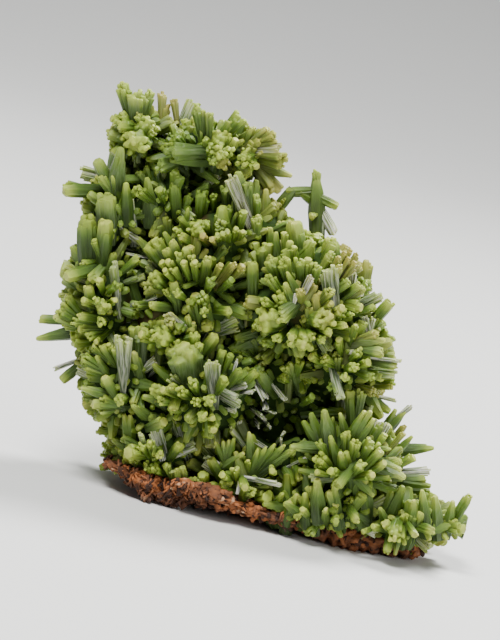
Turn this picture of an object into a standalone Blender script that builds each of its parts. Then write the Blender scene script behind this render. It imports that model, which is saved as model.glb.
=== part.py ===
"""Pyromorphite specimen.

A lumpy mass of stout hexagonal crystals stands on a thin plate of limonite, the matrix, which is cut flat
underneath.  Units are metres, +Z is up and the specimen faces -Y.  The origin is the middle of the box
around the specimen, on the flat cut.

The crystals that a photograph of the front shows are placed by eye: each has its tip and its root in the
photograph's pixels, and its real width.  The rest of the mass is filled with crystals that stand out from it.
"""

import math
import random

import bmesh
import bpy
from mathutils import Matrix, Vector, noise
from mathutils.bvhtree import BVHTree

# The view that the pixels belong to
PIXEL = 0.000155
PICTURE_X = 250
PICTURE_Y = 320
VIEW_DISTANCE = 0.6
VIEW_ROLL = math.radians(13.8)
VIEW_DROP = math.radians(9.0)
VIEW_TARGET = Vector((-0.0034, 0.0008, 0.0295))

# How crystals grow out of the mass
GAP = 0.0003
SINK = 0.0022
HEAD_LENGTH = 0.0052
STALK_DEPTH = 0.0015
LOWEST_TIP = 0.0018
FORMS = {
    # form: width at the root and at the tip, against the middle, and how deep the tip's rim is cut
    "sheaf": (0.80, 1.15, 0.16),
    "barrel": (0.95, 0.95, 0.24),
    "prism": (0.92, 1.00, 0.0),
    "spear": (1.10, 0.50, 0.0),
}
CHAMFER_FROM = 0.0030

# The mass under the crystals
LOBES = {
    # name: picture x and y, towards the viewer, half width, half height and half depth in metres
    "top left": (140, 135, 0.0030, 0.0034, 0.0034, 0.0050),
    "top middle": (203, 150, 0.0030, 0.0066, 0.0034, 0.0062),
    "top right": (248, 155, 0.0025, 0.0030, 0.0028, 0.0048),
    "neck": (170, 195, 0.0020, 0.0068, 0.0056, 0.0068),
    "shoulder": (120, 212, 0.0020, 0.0042, 0.0060, 0.0068),
    "left": (106, 290, 0.0010, 0.0054, 0.0092, 0.0085),
    "left low": (122, 372, 0.0000, 0.0056, 0.0078, 0.0095),
    "centre top": (225, 235, 0.0015, 0.0098, 0.0060, 0.0085),
    "centre": (200, 285, 0.0005, 0.0095, 0.0095, 0.0120),
    "centre right": (300, 300, 0.0020, 0.0098, 0.0090, 0.0130),
    "right": (342, 355, 0.0005, 0.0066, 0.0074, 0.0105),
    "centre low": (205, 385, 0.0000, 0.0094, 0.0080, 0.0125),
    "middle": (285, 390, -0.0025, 0.0094, 0.0090, 0.0100),
    "ledge": (160, 446, -0.0015, 0.0068, 0.0040, 0.0085),
    "foot left": (240, 470, -0.0015, 0.0068, 0.0042, 0.0092),
    "lower right": (345, 462, 0.0010, 0.0076, 0.0066, 0.0115),
    "foot middle": (325, 505, 0.0000, 0.0100, 0.0036, 0.0110),
    "foot right": (400, 520, 0.0000, 0.0070, 0.0036, 0.0090),
    "toe": (440, 524, 0.0000, 0.0036, 0.0016, 0.0050),
    "foot back": (275, 452, -0.0020, 0.0135, 0.0055, 0.0085),
    "left back": (150, 415, -0.0010, 0.0050, 0.0060, 0.0085),
    "lower left": (175, 330, 0.0000, 0.0070, 0.0060, 0.0115),
}
MASS_VOXEL = 0.0010
MASS_KEPT_FACES = 0.03

# Crystals seen from the side: tip x and y, root x and y, width in millimetres and form
CROWN = (
    (122, 83, 131, 122, 2.2, "sheaf"),
    (139, 86, 137, 122, 2.8, "sheaf"),
    (111, 124, 135, 128, 2.5, "sheaf"),
    (113, 154, 124, 143, 1.4, "barrel"),
    (121, 148, 115, 190, 2.8, "barrel"),
    (162, 94, 166, 125, 1.4, "sheaf"),
    (174, 99, 169, 125, 1.2, "sheaf"),
    (155, 168, 185, 157, 2.2, "sheaf"),
    (166, 152, 210, 152, 3.7, "barrel"),
)
TOP_RIDGE = (
    (194, 100, 174, 126, 1.9, "prism"),
    (196, 104, 202, 142, 1.6, "sheaf"),
    (243, 113, 222, 136, 2.2, "sheaf"),
    (249, 177, 236, 156, 1.9, "barrel"),
    (253, 127, 245, 146, 1.4, "barrel"),
    (268, 128, 247, 146, 1.4, "barrel"),
    (276, 134, 248, 147, 1.6, "sheaf"),
    (281, 148, 250, 149, 1.6, "sheaf"),
    (287, 158, 252, 154, 1.7, "sheaf"),
    (292, 176, 258, 166, 1.4, "barrel"),
    (277, 195, 256, 168, 2.8, "sheaf"),
)
SHOULDER = (
    (219, 183, 190, 162, 1.6, "spear"),
    (203, 189, 200, 214, 2.2, "sheaf"),
    (229, 176, 250, 226, 1.9, "prism"),
    (256, 193, 256, 220, 1.6, "sheaf"),
    (147, 178, 151, 212, 2.8, "spear"),
    (126, 183, 127, 212, 1.9, "barrel"),
    (97, 160, 112, 190, 1.9, "barrel"),
    (59, 190, 102, 191, 2.2, "barrel"),
    (78, 172, 106, 179, 1.9, "prism"),
    (106, 194, 108, 228, 3.7, "barrel"),
    (127, 198, 133, 233, 1.7, "prism"),
)
LEFT_EDGE = (
    (87, 216, 88, 262, 2.9, "barrel"),
    (106, 221, 103, 263, 2.5, "barrel"),
    (66, 277, 96, 268, 2.0, "barrel"),
    (90, 282, 106, 264, 1.9, "sheaf"),
    (113, 263, 118, 304, 2.2, "prism"),
    (124, 268, 135, 300, 3.1, "barrel"),
    (66, 296, 92, 330, 1.6, "sheaf"),
    (39, 319, 72, 327, 1.5, "barrel"),
    (36, 339, 72, 345, 2.0, "spear"),
    (53, 369, 78, 352, 1.1, "prism"),
    (61, 381, 86, 360, 1.6, "barrel"),
    (81, 388, 108, 396, 1.9, "spear"),
    (104, 377, 118, 399, 1.6, "barrel"),
    (92, 404, 122, 406, 1.6, "barrel"),
)
CENTRE_LEFT = (
    (140, 322, 140, 360, 3.1, "sheaf"),
    (160, 318, 160, 350, 2.2, "sheaf"),
    (160, 214, 165, 243, 2.8, "sheaf"),
    (222, 207, 222, 235, 3.4, "barrel"),
    (256, 216, 258, 246, 1.6, "barrel"),
    (263, 240, 265, 265, 3.1, "sheaf"),
    (253, 262, 253, 294, 1.9, "barrel"),
    (222, 292, 236, 316, 2.2, "sheaf"),
    (186, 298, 200, 326, 2.5, "sheaf"),
    (240, 319, 208, 334, 1.9, "prism"),
    (183, 335, 189, 374, 4.6, "sheaf"),
    (208, 360, 213, 397, 1.9, "prism"),
    (122, 336, 122, 388, 2.6, "prism"),
)
LOWER_LEFT = (
    (126, 414, 130, 444, 1.8, "barrel"),
    (95, 430, 122, 431, 1.6, "barrel"),
    (119, 429, 112, 457, 1.7, "prism"),
    (152, 426, 165, 466, 2.2, "barrel"),
    (174, 414, 187, 457, 1.9, "prism"),
    (200, 430, 200, 456, 1.9, "barrel"),
    (249, 432, 252, 464, 1.7, "spear"),
    (234, 438, 225, 462, 1.4, "barrel"),
    (295, 449, 256, 474, 2.0, "spear"),
    (256, 489, 270, 513, 2.5, "barrel"),
    (287, 474, 286, 520, 1.9, "barrel"),
    (301, 493, 298, 513, 2.0, "barrel"),
    (317, 479, 318, 510, 2.2, "barrel"),
    (346, 452, 351, 482, 2.2, "sheaf"),
    (335, 487, 353, 464, 2.0, "barrel"),
)
CENTRE_RIGHT = (
    (275, 293, 286, 309, 2.3, "sheaf"),
    (277, 320, 296, 304, 2.2, "barrel"),
    (295, 221, 300, 252, 2.8, "barrel"),
    (281, 221, 283, 240, 1.9, "barrel"),
    (330, 238, 332, 260, 2.6, "barrel"),
    (366, 259, 364, 293, 2.2, "sheaf"),
    (328, 266, 332, 302, 2.2, "prism"),
    (318, 292, 322, 326, 2.3, "barrel"),
    (362, 308, 343, 303, 1.9, "barrel"),
    (384, 294, 355, 309, 1.7, "barrel"),
    (392, 302, 370, 326, 1.9, "barrel"),
    (385, 342, 350, 347, 1.9, "sheaf"),
    (401, 361, 368, 358, 1.3, "barrel"),
    (397, 377, 366, 372, 1.6, "barrel"),
    (350, 348, 338, 334, 1.7, "barrel"),
    (281, 372, 297, 388, 1.9, "barrel"),
    (341, 401, 332, 366, 1.9, "prism"),
    (352, 390, 350, 425, 2.2, "barrel"),
    (384, 394, 362, 396, 1.4, "barrel"),
    (397, 401, 370, 402, 1.3, "prism"),
    (390, 412, 372, 410, 2.2, "barrel"),
    (241, 352, 262, 362, 1.8, "sheaf"),
)
LOWER_RIGHT = (
    (307, 415, 322, 448, 2.2, "sheaf"),
    (324, 410, 331, 452, 2.0, "barrel"),
    (368, 412, 347, 447, 2.2, "sheaf"),
    (388, 422, 376, 440, 1.4, "prism"),
    (400, 409, 388, 430, 1.8, "barrel"),
    (413, 405, 398, 418, 1.1, "barrel"),
    (434, 448, 396, 449, 2.0, "spear"),
    (405, 476, 374, 466, 2.2, "barrel"),
    (432, 471, 402, 476, 1.4, "prism"),
    (429, 485, 398, 484, 1.8, "barrel"),
    (403, 486, 392, 514, 1.9, "barrel"),
    (391, 504, 364, 521, 2.0, "barrel"),
    (366, 482, 366, 512, 1.6, "barrel"),
    (422, 490, 425, 524, 1.9, "spear"),
    (435, 496, 436, 526, 1.9, "barrel"),
    (453, 501, 446, 526, 1.6, "barrel"),
    (470, 495, 450, 525, 1.5, "barrel"),
    (466, 530, 444, 526, 1.7, "barrel"),
    (398, 553, 398, 528, 1.8, "barrel"),
    (378, 547, 384, 522, 1.5, "barrel"),
)
SIDE_CRYSTALS = (
    CROWN + TOP_RIDGE + SHOULDER + LEFT_EDGE + CENTRE_LEFT
    + LOWER_LEFT + CENTRE_RIGHT + LOWER_RIGHT
)

# Crystals that point at the viewer: tip x and y, width in millimetres
HEADS = (
    (148, 116, 3.1), (133, 143, 3.9), (166, 140, 2.8), (218, 131, 2.8), (222, 150, 2.8), (226, 168, 2.5),
    (241, 165, 2.5), (150, 274, 2.5), (70, 338, 2.8), (103, 306, 2.5), (84, 327, 2.0), (103, 343, 2.0),
    (150, 240, 3.4), (158, 335, 3.1), (196, 225, 3.1), (176, 236, 2.6), (188, 250, 2.2), (165, 264, 2.2),
    (222, 236, 2.6), (150, 388, 2.8), (128, 452, 2.5), (165, 421, 2.0), (315, 456, 2.5), (206, 422, 2.6),
    (276, 257, 2.8), (304, 258, 2.4), (350, 256, 2.0), (335, 298, 2.4), (330, 316, 3.4), (303, 346, 3.4),
    (262, 318, 4.0), (390, 385, 1.9), (374, 438, 2.4), (414, 457, 1.9), (393, 537, 2.5), (402, 433, 1.8),
)

# The stalk that leans out at the top right, and what grows on it
STALK = (
    (316, 168, 316, 250, 2.8, "spear"),
    (338, 206, 319, 202, 1.7, "barrel"),
    (334, 235, 319, 210, 1.9, "barrel"),
    (309, 205, 276, 190, 1.9, "barrel"),
    (303, 222, 318, 216, 1.6, "barrel"),
)

# The crystals that nobody placed by eye: how far apart they stand, and their least and greatest sizes
FILL_SPACING = 0.0060
FILL_LENGTH = (0.0036, 0.0060)
FILL_WIDTH = (0.0028, 0.0040)
FILL_REACH = 0.0024
FILL_SEED = 7

# The matrix, as overlapping flattened lumps with square shoulders: middle and half sizes
MATRIX_LUMPS = (
    ((-0.0095, -0.0015, 0.0014), (0.0090, 0.0110, 0.0032)),
    ((0.0030, -0.0005, 0.0012), (0.0120, 0.0122, 0.0034)),
    ((0.0160, 0.0005, 0.0012), (0.0110, 0.0110, 0.0030)),
    ((0.0240, 0.0000, 0.0018), (0.0070, 0.0085, 0.0026)),
    ((-0.0160, -0.0035, 0.0036), (0.0056, 0.0080, 0.0012)),
)
MATRIX_SQUARENESS = 4.0
MATRIX_ROUGHNESS = 0.0009
MATRIX_GRAIN = 0.0035
FLOOR_SIZE = 0.12

# Single crystals on the front ledge: x and y of the foot, the lean along x, length and width
LEDGE_CRYSTALS = (
    (-0.0080, -0.0114, -0.35, 0.0026, 0.0013),
    (-0.0050, -0.0112, 0.10, 0.0030, 0.0010),
    (-0.0125, -0.0114, -0.10, 0.0022, 0.0010),
    (0.0005, -0.0114, 0.25, 0.0022, 0.0009),
)


def view_axes():
    """The picture's right, the picture's up, and the way from the specimen to the viewer."""
    sideways = Vector((1.0, 0.0, 0.0))
    rise = Vector((0.0, math.sin(VIEW_DROP), math.cos(VIEW_DROP)))
    right = sideways * math.cos(VIEW_ROLL) + rise * math.sin(VIEW_ROLL)
    up = rise * math.cos(VIEW_ROLL) - sideways * math.sin(VIEW_ROLL)
    toward = Vector((0.0, -math.cos(VIEW_DROP), math.sin(VIEW_DROP)))
    return right, up, toward


RIGHT, UP, TOWARD = view_axes()


def place(x, y, toward):
    """The point that shows at a pixel, at a distance from the middle plane towards the viewer."""
    across = RIGHT * (x - PICTURE_X) * PIXEL + UP * (PICTURE_Y - y) * PIXEL
    return VIEW_TARGET + TOWARD * toward + across * (1.0 - toward / VIEW_DISTANCE)


def in_lobe(lobe, offset):
    """An offset from a lobe's middle, in the lobe's own radii."""
    half_width, half_height, half_depth = lobe[3:]
    return Vector((
        offset.dot(RIGHT) / half_width,
        offset.dot(UP) / half_height,
        offset.dot(TOWARD) / half_depth,
    ))


def out_of_lobe(lobe, local):
    """The offset in metres of a point given in a lobe's own radii."""
    half_width, half_height, half_depth = lobe[3:]
    return RIGHT * local.x * half_width + UP * local.y * half_height + TOWARD * local.z * half_depth


def lobe_normal(lobe, local):
    """The outward direction of a lobe's surface at a point given in its own radii."""
    half_width, half_height, half_depth = lobe[3:]
    slope = RIGHT * local.x / half_width + UP * local.y / half_height + TOWARD * local.z / half_depth
    return slope.normalized()


def surface(x, y):
    """The front of the mass at a pixel, and its outward direction.

    Where the mass doesn't reach the pixel, this is the nearest point of its outline.
    """
    front = None
    nearest = None
    for lobe in LOBES.values():
        middle = place(*lobe[:3])
        start = in_lobe(lobe, place(x, y, 0.0) - middle)
        step = in_lobe(lobe, place(x, y, 1.0) - place(x, y, 0.0))
        along = -start.dot(step) / step.length_squared
        closest = start + step * along
        if closest.length < 1.0:
            reach = along + math.sqrt((1.0 - closest.length_squared) / step.length_squared)
            if front is None or reach > front[0]:
                local = start + step * reach
                front = (reach, middle + out_of_lobe(lobe, local), lobe_normal(lobe, local))
        else:
            miss = (closest.length - 1.0) * min(lobe[3:5])
            if nearest is None or miss < nearest[0]:
                local = closest.normalized()
                nearest = (miss, middle + out_of_lobe(lobe, local), lobe_normal(lobe, local))
    found = front or nearest
    return found[1], found[2]


def side_crystal(tip_x, tip_y, root_x, root_y):
    """Root and tip of a crystal that both show; it leans to the viewer as the mass under it does."""
    root, normal = surface(root_x, root_y)
    depth = (root - VIEW_TARGET).dot(TOWARD)
    shown = (place(tip_x, tip_y, depth) - root).length
    lean = min(max(normal.dot(TOWARD), 0.0), 1.0) * 0.7
    tip = place(tip_x, tip_y, depth + shown * lean)
    return root, tip


def head_crystal(x, y, length):
    """Root and tip of a crystal that points at the viewer and shows its tip at a pixel."""
    _, normal = surface(x, y)
    direction = (normal + TOWARD * 0.8).normalized()
    root_x = x - direction.dot(RIGHT) * length / PIXEL
    root_y = y + direction.dot(UP) * length / PIXEL
    root, _ = surface(root_x, root_y)
    return root, root + direction * length


def shows_past(point, reach):
    """Whether a point shows further than a reach outside the outline of every lobe."""
    for lobe in LOBES.values():
        offset = point - place(*lobe[:3])
        local = in_lobe(lobe, offset)
        shown = math.hypot(offset.dot(RIGHT), offset.dot(UP))
        if shown * (1.0 - 1.0 / math.hypot(local.x, local.y)) < reach:
            return False
    return True


def buried(point, own):
    """Whether a point lies inside another lobe than its own."""
    for lobe in LOBES.values():
        if lobe is not own and in_lobe(lobe, point - place(*lobe[:3])).length < 1.0:
            return True
    return False


def fill_crystals(spacing, lengths, widths, seed):
    """Crystals over the back, the sides and the top: root, tip and width of each."""
    chance = random.Random(seed)
    roots = []
    found = []
    golden_turn = math.pi * (3.0 - math.sqrt(5.0))
    for lobe in LOBES.values():
        middle = place(*lobe[:3])
        tries = 90
        for step in range(tries):
            height = 1.0 - (2.0 * step + 1.0) / tries
            ring = math.sqrt(1.0 - height * height)
            turn = golden_turn * step
            local = Vector((ring * math.cos(turn), ring * math.sin(turn), height))
            root = middle + out_of_lobe(lobe, local)
            normal = lobe_normal(lobe, local)
            sway = Vector((chance.uniform(-1, 1), chance.uniform(-1, 1), chance.uniform(-1, 1)))
            direction = (normal + sway * 0.30).normalized()
            tip = root + direction * chance.uniform(*lengths)
            width = chance.uniform(*widths)
            faces_viewer = normal.dot(TOWARD) > 0.25
            too_close = any((root - other).length < spacing for other in roots)
            too_low = min(tip.z, root.z) < LOWEST_TIP
            if faces_viewer or too_close or too_low or buried(root, lobe) or shows_past(tip, FILL_REACH):
                continue
            roots.append(root)
            found.append((root, tip, width))
    return found


def make_mass(cutters):
    """The lumpy mass under the crystals, melted together from its lobes and cut to a few flat faces."""
    mesh = bmesh.new()
    turned = Matrix((RIGHT, UP, TOWARD)).transposed().to_4x4()
    for lobe in LOBES.values():
        sized = Matrix.Diagonal((*lobe[3:], 1.0))
        where = Matrix.Translation(place(*lobe[:3])) @ turned @ sized
        bmesh.ops.create_icosphere(mesh, subdivisions=4, radius=1.0, matrix=where)
    mass = make_object("mass", mesh, cutters)
    melt = mass.modifiers.new("Melt", "REMESH")
    melt.mode = "VOXEL"
    melt.voxel_size = MASS_VOXEL
    facet = mass.modifiers.new("Facet", "DECIMATE")
    facet.ratio = MASS_KEPT_FACES
    bake(mass)
    return mass


def add_crystal(mesh, root, tip, width, form, twist):
    """One hexagonal crystal from below the mass's surface at its root to its tip."""
    root_share, tip_share, rim = FORMS[form]
    axis = tip - root
    direction = axis.normalized()
    foot = root - direction * SINK
    length = axis.length + SINK
    turn = direction.to_track_quat("Z", "Y").to_matrix().to_4x4()
    where = Matrix.Translation(foot + direction * length / 2.0) @ turn @ Matrix.Rotation(twist, 4, "Z")
    made = bmesh.ops.create_cone(
        mesh,
        cap_ends=True,
        segments=6,
        radius1=width * root_share / 2.0,
        radius2=width * tip_share / 2.0,
        depth=length,
        matrix=where,
    )
    if rim > 0.0 and width >= CHAMFER_FROM:
        ends = {face for vertex in made["verts"] for face in vertex.link_faces if len(face.verts) == 6}
        top = max(ends, key=lambda face: face.calc_center_median().dot(direction))
        cut = width * rim
        bmesh.ops.inset_region(mesh, faces=[top], thickness=cut, depth=cut * 0.7)


def make_object(name, mesh, collection):
    """A named object from a bmesh, in a collection."""
    data = bpy.data.meshes.new(name)
    mesh.to_mesh(data)
    mesh.free()
    made = bpy.data.objects.new(name, data)
    collection.objects.link(made)
    return made


def make_material(name, colour, roughness):
    material = bpy.data.materials.new(name)
    material.use_nodes = True
    shader = material.node_tree.nodes["Principled BSDF"]
    shader.inputs["Base Color"].default_value = colour
    shader.inputs["Roughness"].default_value = roughness
    shader.inputs["Metallic"].default_value = 0.0
    return material


def add_boolean(target, cutter, operation):
    """A Boolean that also joins the target's own overlapping bodies."""
    modifier = target.modifiers.new(operation.title(), "BOOLEAN")
    modifier.operation = operation
    modifier.solver = "EXACT"
    modifier.use_self = True
    modifier.object = cutter


def bake(target):
    """Puts the result of an object's modifiers in its mesh."""
    evaluated = target.evaluated_get(bpy.context.evaluated_depsgraph_get())
    baked = bpy.data.meshes.new_from_object(evaluated)
    target.modifiers.clear()
    target.data = baked


def keep_outer_body(target):
    """Keeps an object's largest closed body and drops sealed hollows and loose chips."""
    mesh = bmesh.new()
    mesh.from_mesh(target.data)
    bmesh.ops.dissolve_degenerate(mesh, dist=0.000002, edges=mesh.edges)
    bodies = []
    waiting = set(mesh.faces)
    while waiting:
        body = [waiting.pop()]
        for face in body:
            for edge in face.edges:
                for neighbour in edge.link_faces:
                    if neighbour in waiting:
                        waiting.remove(neighbour)
                        body.append(neighbour)
        bodies.append(body)
    bodies.sort(key=len)
    loose = [face for body in bodies[:-1] for face in body]
    bmesh.ops.delete(mesh, geom=loose, context="FACES")
    mesh.to_mesh(target.data)
    mesh.free()


def make_floor_cutter(cutters):
    """A box under the specimen, whose top is the flat cut."""
    mesh = bmesh.new()
    where = Matrix.Translation((0.0, 0.0, -FLOOR_SIZE / 2.0)) @ Matrix.Scale(FLOOR_SIZE, 4)
    bmesh.ops.create_cube(mesh, size=1.0, matrix=where)
    floor = make_object("floor cutter", mesh, cutters)
    floor.hide_render = True
    floor.display_type = "WIRE"
    return floor


def matrix_mesh(grow):
    """The matrix's lumps with a rugged surface, grown outwards by a clearance."""
    mesh = bmesh.new()
    for middle, half in MATRIX_LUMPS:
        lump = bmesh.ops.create_icosphere(mesh, subdivisions=2, radius=1.0)
        for vertex in lump["verts"]:
            ball = vertex.co.copy()
            spread = sum(abs(part) ** MATRIX_SQUARENESS for part in ball) ** (1.0 / MATRIX_SQUARENESS)
            vertex.co = Vector(middle) + ball / spread * Vector(half)
            rough = noise.noise(vertex.co / MATRIX_GRAIN) * MATRIX_ROUGHNESS
            vertex.co += ball * (rough + grow)
    return mesh


def make_matrix(parts, floor):
    """The limonite plate, cut flat where the specimen rests."""
    plate = make_object("matrix", matrix_mesh(0.0), parts)
    add_boolean(plate, floor, "DIFFERENCE")
    bake(plate)
    keep_outer_body(plate)
    plate.data.materials.clear()
    plate.data.materials.append(make_material("limonite", (0.36, 0.16, 0.06, 1.0), 0.85))
    return plate


def make_crystals(parts, cutters):
    """The intergrown crystals, fused in one solid that stands clear of the matrix."""
    chance = random.Random(FILL_SEED)
    mass = make_mass(cutters)
    mesh = bmesh.new()
    mesh.from_mesh(mass.data)
    bpy.data.objects.remove(mass, do_unlink=True)
    for tip_x, tip_y, root_x, root_y, width, form in SIDE_CRYSTALS:
        root, tip = side_crystal(tip_x, tip_y, root_x, root_y)
        add_crystal(mesh, root, tip, width / 1000.0, form, chance.uniform(0.0, math.pi / 3.0))
    for x, y, width in HEADS:
        root, tip = head_crystal(x, y, HEAD_LENGTH)
        add_crystal(mesh, root, tip, width / 1000.0, "sheaf", chance.uniform(0.0, math.pi / 3.0))
    for tip_x, tip_y, root_x, root_y, width, form in STALK:
        root = place(root_x, root_y, STALK_DEPTH)
        tip = place(tip_x, tip_y, STALK_DEPTH)
        add_crystal(mesh, root, tip, width / 1000.0, form, chance.uniform(0.0, math.pi / 3.0))
    for root, tip, width in fill_crystals(FILL_SPACING, FILL_LENGTH, FILL_WIDTH, FILL_SEED):
        add_crystal(mesh, root, tip, width, "barrel", chance.uniform(0.0, math.pi / 3.0))
    grown = make_object("crystals", mesh, parts)
    clearance = make_object("matrix clearance", matrix_mesh(GAP), cutters)
    clearance.hide_render = True
    clearance.display_type = "WIRE"
    add_boolean(grown, clearance, "DIFFERENCE")
    bake(grown)
    keep_outer_body(grown)
    grown.data.materials.clear()
    grown.data.materials.append(make_material("pyromorphite", (0.33, 0.50, 0.14, 1.0), 0.35))
    return grown


def surface_tree(target):
    """An object's surface, ready to be met by a ray."""
    mesh = bmesh.new()
    mesh.from_mesh(target.data)
    tree = BVHTree.FromBMesh(mesh)
    mesh.free()
    return tree


def make_ledge_crystal(index, row, parts, ledge, material):
    """One single crystal that stands on the ledge, a hair clear of the matrix."""
    x, y, lean, length, width = row
    mesh = bmesh.new()
    top, _, _, _ = ledge.ray_cast((x, y, FLOOR_SIZE), (0.0, 0.0, -1.0))
    foot = top + Vector((0.0, 0.0, GAP + 0.2 * width))
    direction = Vector((lean, -0.15, 1.0)).normalized()
    add_crystal(mesh, foot + direction * SINK, foot + direction * length, width, "barrel", lean)
    crystal = make_object("ledge_crystal_" + str(index), mesh, parts)
    crystal.data.materials.append(material)


def main():
    for old in list(bpy.data.objects):
        bpy.data.objects.remove(old, do_unlink=True)
    parts = bpy.data.collections.new("pyromorphite specimen")
    cutters = bpy.data.collections.new("cutters")
    bpy.context.scene.collection.children.link(parts)
    bpy.context.scene.collection.children.link(cutters)
    floor = make_floor_cutter(cutters)
    plate = make_matrix(parts, floor)
    grown = make_crystals(parts, cutters)
    ledge = surface_tree(plate)
    for index, row in enumerate(LEDGE_CRYSTALS, start=1):
        make_ledge_crystal(index, row, parts, ledge, grown.data.materials[0])


main()
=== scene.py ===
import math
import random

import bpy
import numpy as np
from mathutils import Matrix, Vector


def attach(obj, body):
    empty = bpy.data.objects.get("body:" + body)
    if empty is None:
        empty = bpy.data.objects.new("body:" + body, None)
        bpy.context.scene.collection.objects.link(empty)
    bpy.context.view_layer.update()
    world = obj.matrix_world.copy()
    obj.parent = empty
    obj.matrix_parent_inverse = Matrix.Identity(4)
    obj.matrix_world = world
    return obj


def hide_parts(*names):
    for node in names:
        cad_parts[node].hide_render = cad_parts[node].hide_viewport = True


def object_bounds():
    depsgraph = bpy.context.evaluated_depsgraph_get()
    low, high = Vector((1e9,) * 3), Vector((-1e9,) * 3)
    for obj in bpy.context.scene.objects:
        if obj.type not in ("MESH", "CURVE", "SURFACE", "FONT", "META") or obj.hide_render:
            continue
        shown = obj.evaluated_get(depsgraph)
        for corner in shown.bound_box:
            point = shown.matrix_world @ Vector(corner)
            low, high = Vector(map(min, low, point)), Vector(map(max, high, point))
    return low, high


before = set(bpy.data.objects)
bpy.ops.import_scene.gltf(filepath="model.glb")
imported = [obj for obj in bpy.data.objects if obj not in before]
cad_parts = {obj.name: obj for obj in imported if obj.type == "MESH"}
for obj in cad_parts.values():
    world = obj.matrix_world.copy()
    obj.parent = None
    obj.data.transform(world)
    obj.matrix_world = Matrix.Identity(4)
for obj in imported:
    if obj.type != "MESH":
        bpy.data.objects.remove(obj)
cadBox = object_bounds()

# The view that every picture position below belongs to: a 500 x 640 picture taken nearly level.
view = {
    "metresPerPixel": 0.000155,        # at the specimen's middle
    "centreX": 250,
    "centreY": 320,
    "distance": 0.6,
    "roll": math.radians(13.8),        # the specimen was held tilted, so the camera rolls
    "drop": math.radians(9.0),
    "target": Vector((-0.0034, 0.0008, 0.0295)),
    "halfPicture": 320,                # pixels from the middle to the long side's end
    "sensor": 36.0,
}

sideways = Vector((1.0, 0.0, 0.0))
rise = Vector((0.0, math.sin(view["drop"]), math.cos(view["drop"])))
right = sideways * math.cos(view["roll"]) + rise * math.sin(view["roll"])
up = rise * math.cos(view["roll"]) - sideways * math.sin(view["roll"])
toward = Vector((0.0, -math.cos(view["drop"]), math.sin(view["drop"])))
pictureTurn = Matrix((right, up, toward)).transposed().to_4x4()

# The lumps that the crystals stand on: picture x and y, metres towards the viewer,
# then half width, half height and half depth in metres.
lobes = {
    "top left": (140, 135, 0.0030, 0.0034, 0.0034, 0.0050),
    "top middle": (203, 150, 0.0030, 0.0066, 0.0034, 0.0062),
    "top right": (248, 155, 0.0025, 0.0030, 0.0028, 0.0048),
    "neck": (170, 195, 0.0020, 0.0068, 0.0056, 0.0068),
    "shoulder": (120, 212, 0.0020, 0.0042, 0.0060, 0.0068),
    "left": (106, 290, 0.0010, 0.0054, 0.0092, 0.0085),
    "left low": (122, 372, 0.0000, 0.0056, 0.0078, 0.0095),
    "centre top": (225, 235, 0.0015, 0.0098, 0.0060, 0.0085),
    "centre": (200, 285, 0.0005, 0.0095, 0.0095, 0.0120),
    "centre right": (300, 300, 0.0020, 0.0098, 0.0090, 0.0130),
    "right": (342, 355, 0.0005, 0.0066, 0.0074, 0.0105),
    "centre low": (205, 385, 0.0000, 0.0094, 0.0080, 0.0125),
    "middle": (285, 390, -0.0025, 0.0094, 0.0090, 0.0100),
    "ledge": (160, 446, -0.0015, 0.0068, 0.0040, 0.0085),
    "foot left": (240, 470, -0.0015, 0.0068, 0.0042, 0.0092),
    "lower right": (345, 462, 0.0010, 0.0076, 0.0066, 0.0115),
    "foot middle": (325, 505, 0.0000, 0.0100, 0.0036, 0.0110),
    "foot right": (400, 520, 0.0000, 0.0070, 0.0036, 0.0090),
    "toe": (440, 524, 0.0000, 0.0036, 0.0016, 0.0050),
    "foot back": (275, 452, -0.0020, 0.0135, 0.0055, 0.0085),
    "left back": (150, 415, -0.0010, 0.0050, 0.0060, 0.0085),
    "lower left": (175, 330, 0.0000, 0.0070, 0.0060, 0.0115),
}

growth = {
    "sink": 0.0022,            # how far a crystal's foot goes below the surface it stands on
    "lean": 0.7,               # how much a crystal follows the slope of its lump towards the viewer
    "headLength": 0.0048,
    "headVaries": (0.80, 1.05),
    "headFacing": 0.30,        # how much a head turns to the viewer, and how much it rises
    "headRise": 0.45,
    "stalkDepth": 0.0015,
    "lowestTip": 0.0012,
    "boxMargin": 0.00015,
    "widen": 1.30,             # the widths were read inside the glow of the edges
    "headWiden": 1.22,
    "castleFrom": 1.65,
    # how strongly the painted shade spots darken the crystals
    "paintedShade": 0.72,
    "stray": 0.06,             # how far a root strays from the even spiral over its lump
    "shortened": 0.4,
    "thinned": 0.65,           # share of the crystals between the others that the shady places lack
    "openDepth": 0.0012,       # hollows deeper than this stay free of them
    "barrelTapered": 0.25,     # share of a region's barrels that taper to a blunt point
    "taperBelow": 395,         # picture height below which many crystals between the others taper too
    "tapered": 0.5,
}
# how glossy a crystal is and how much painted white glint goes into its colour: the silky ones by their width
# in mm, the others by chance
glossAndGlint = {
    "thinBelow": 1.3, "thin": 1.0, "thick": 0.45,
    "placed": (0.0, 0.0, 0.02, 0.05),
    "filled": (0.0, 0.0, 0.03), "filledSilk": (0.25, 0.25, 0.7),
}


def place(x, y, depth):
    across = right * (x - view["centreX"]) + up * (view["centreY"] - y)
    across *= view["metresPerPixel"]
    return view["target"] + toward * depth + across * (1.0 - depth / view["distance"])


def inLobe(lobe, offset):
    return Vector((offset.dot(right) / lobe[3], offset.dot(up) / lobe[4], offset.dot(toward) / lobe[5]))


def outOfLobe(lobe, local):
    return right * local.x * lobe[3] + up * local.y * lobe[4] + toward * local.z * lobe[5]


def lobeNormal(lobe, local):
    return (right * local.x / lobe[3] + up * local.y / lobe[4] + toward * local.z / lobe[5]).normalized()


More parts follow.
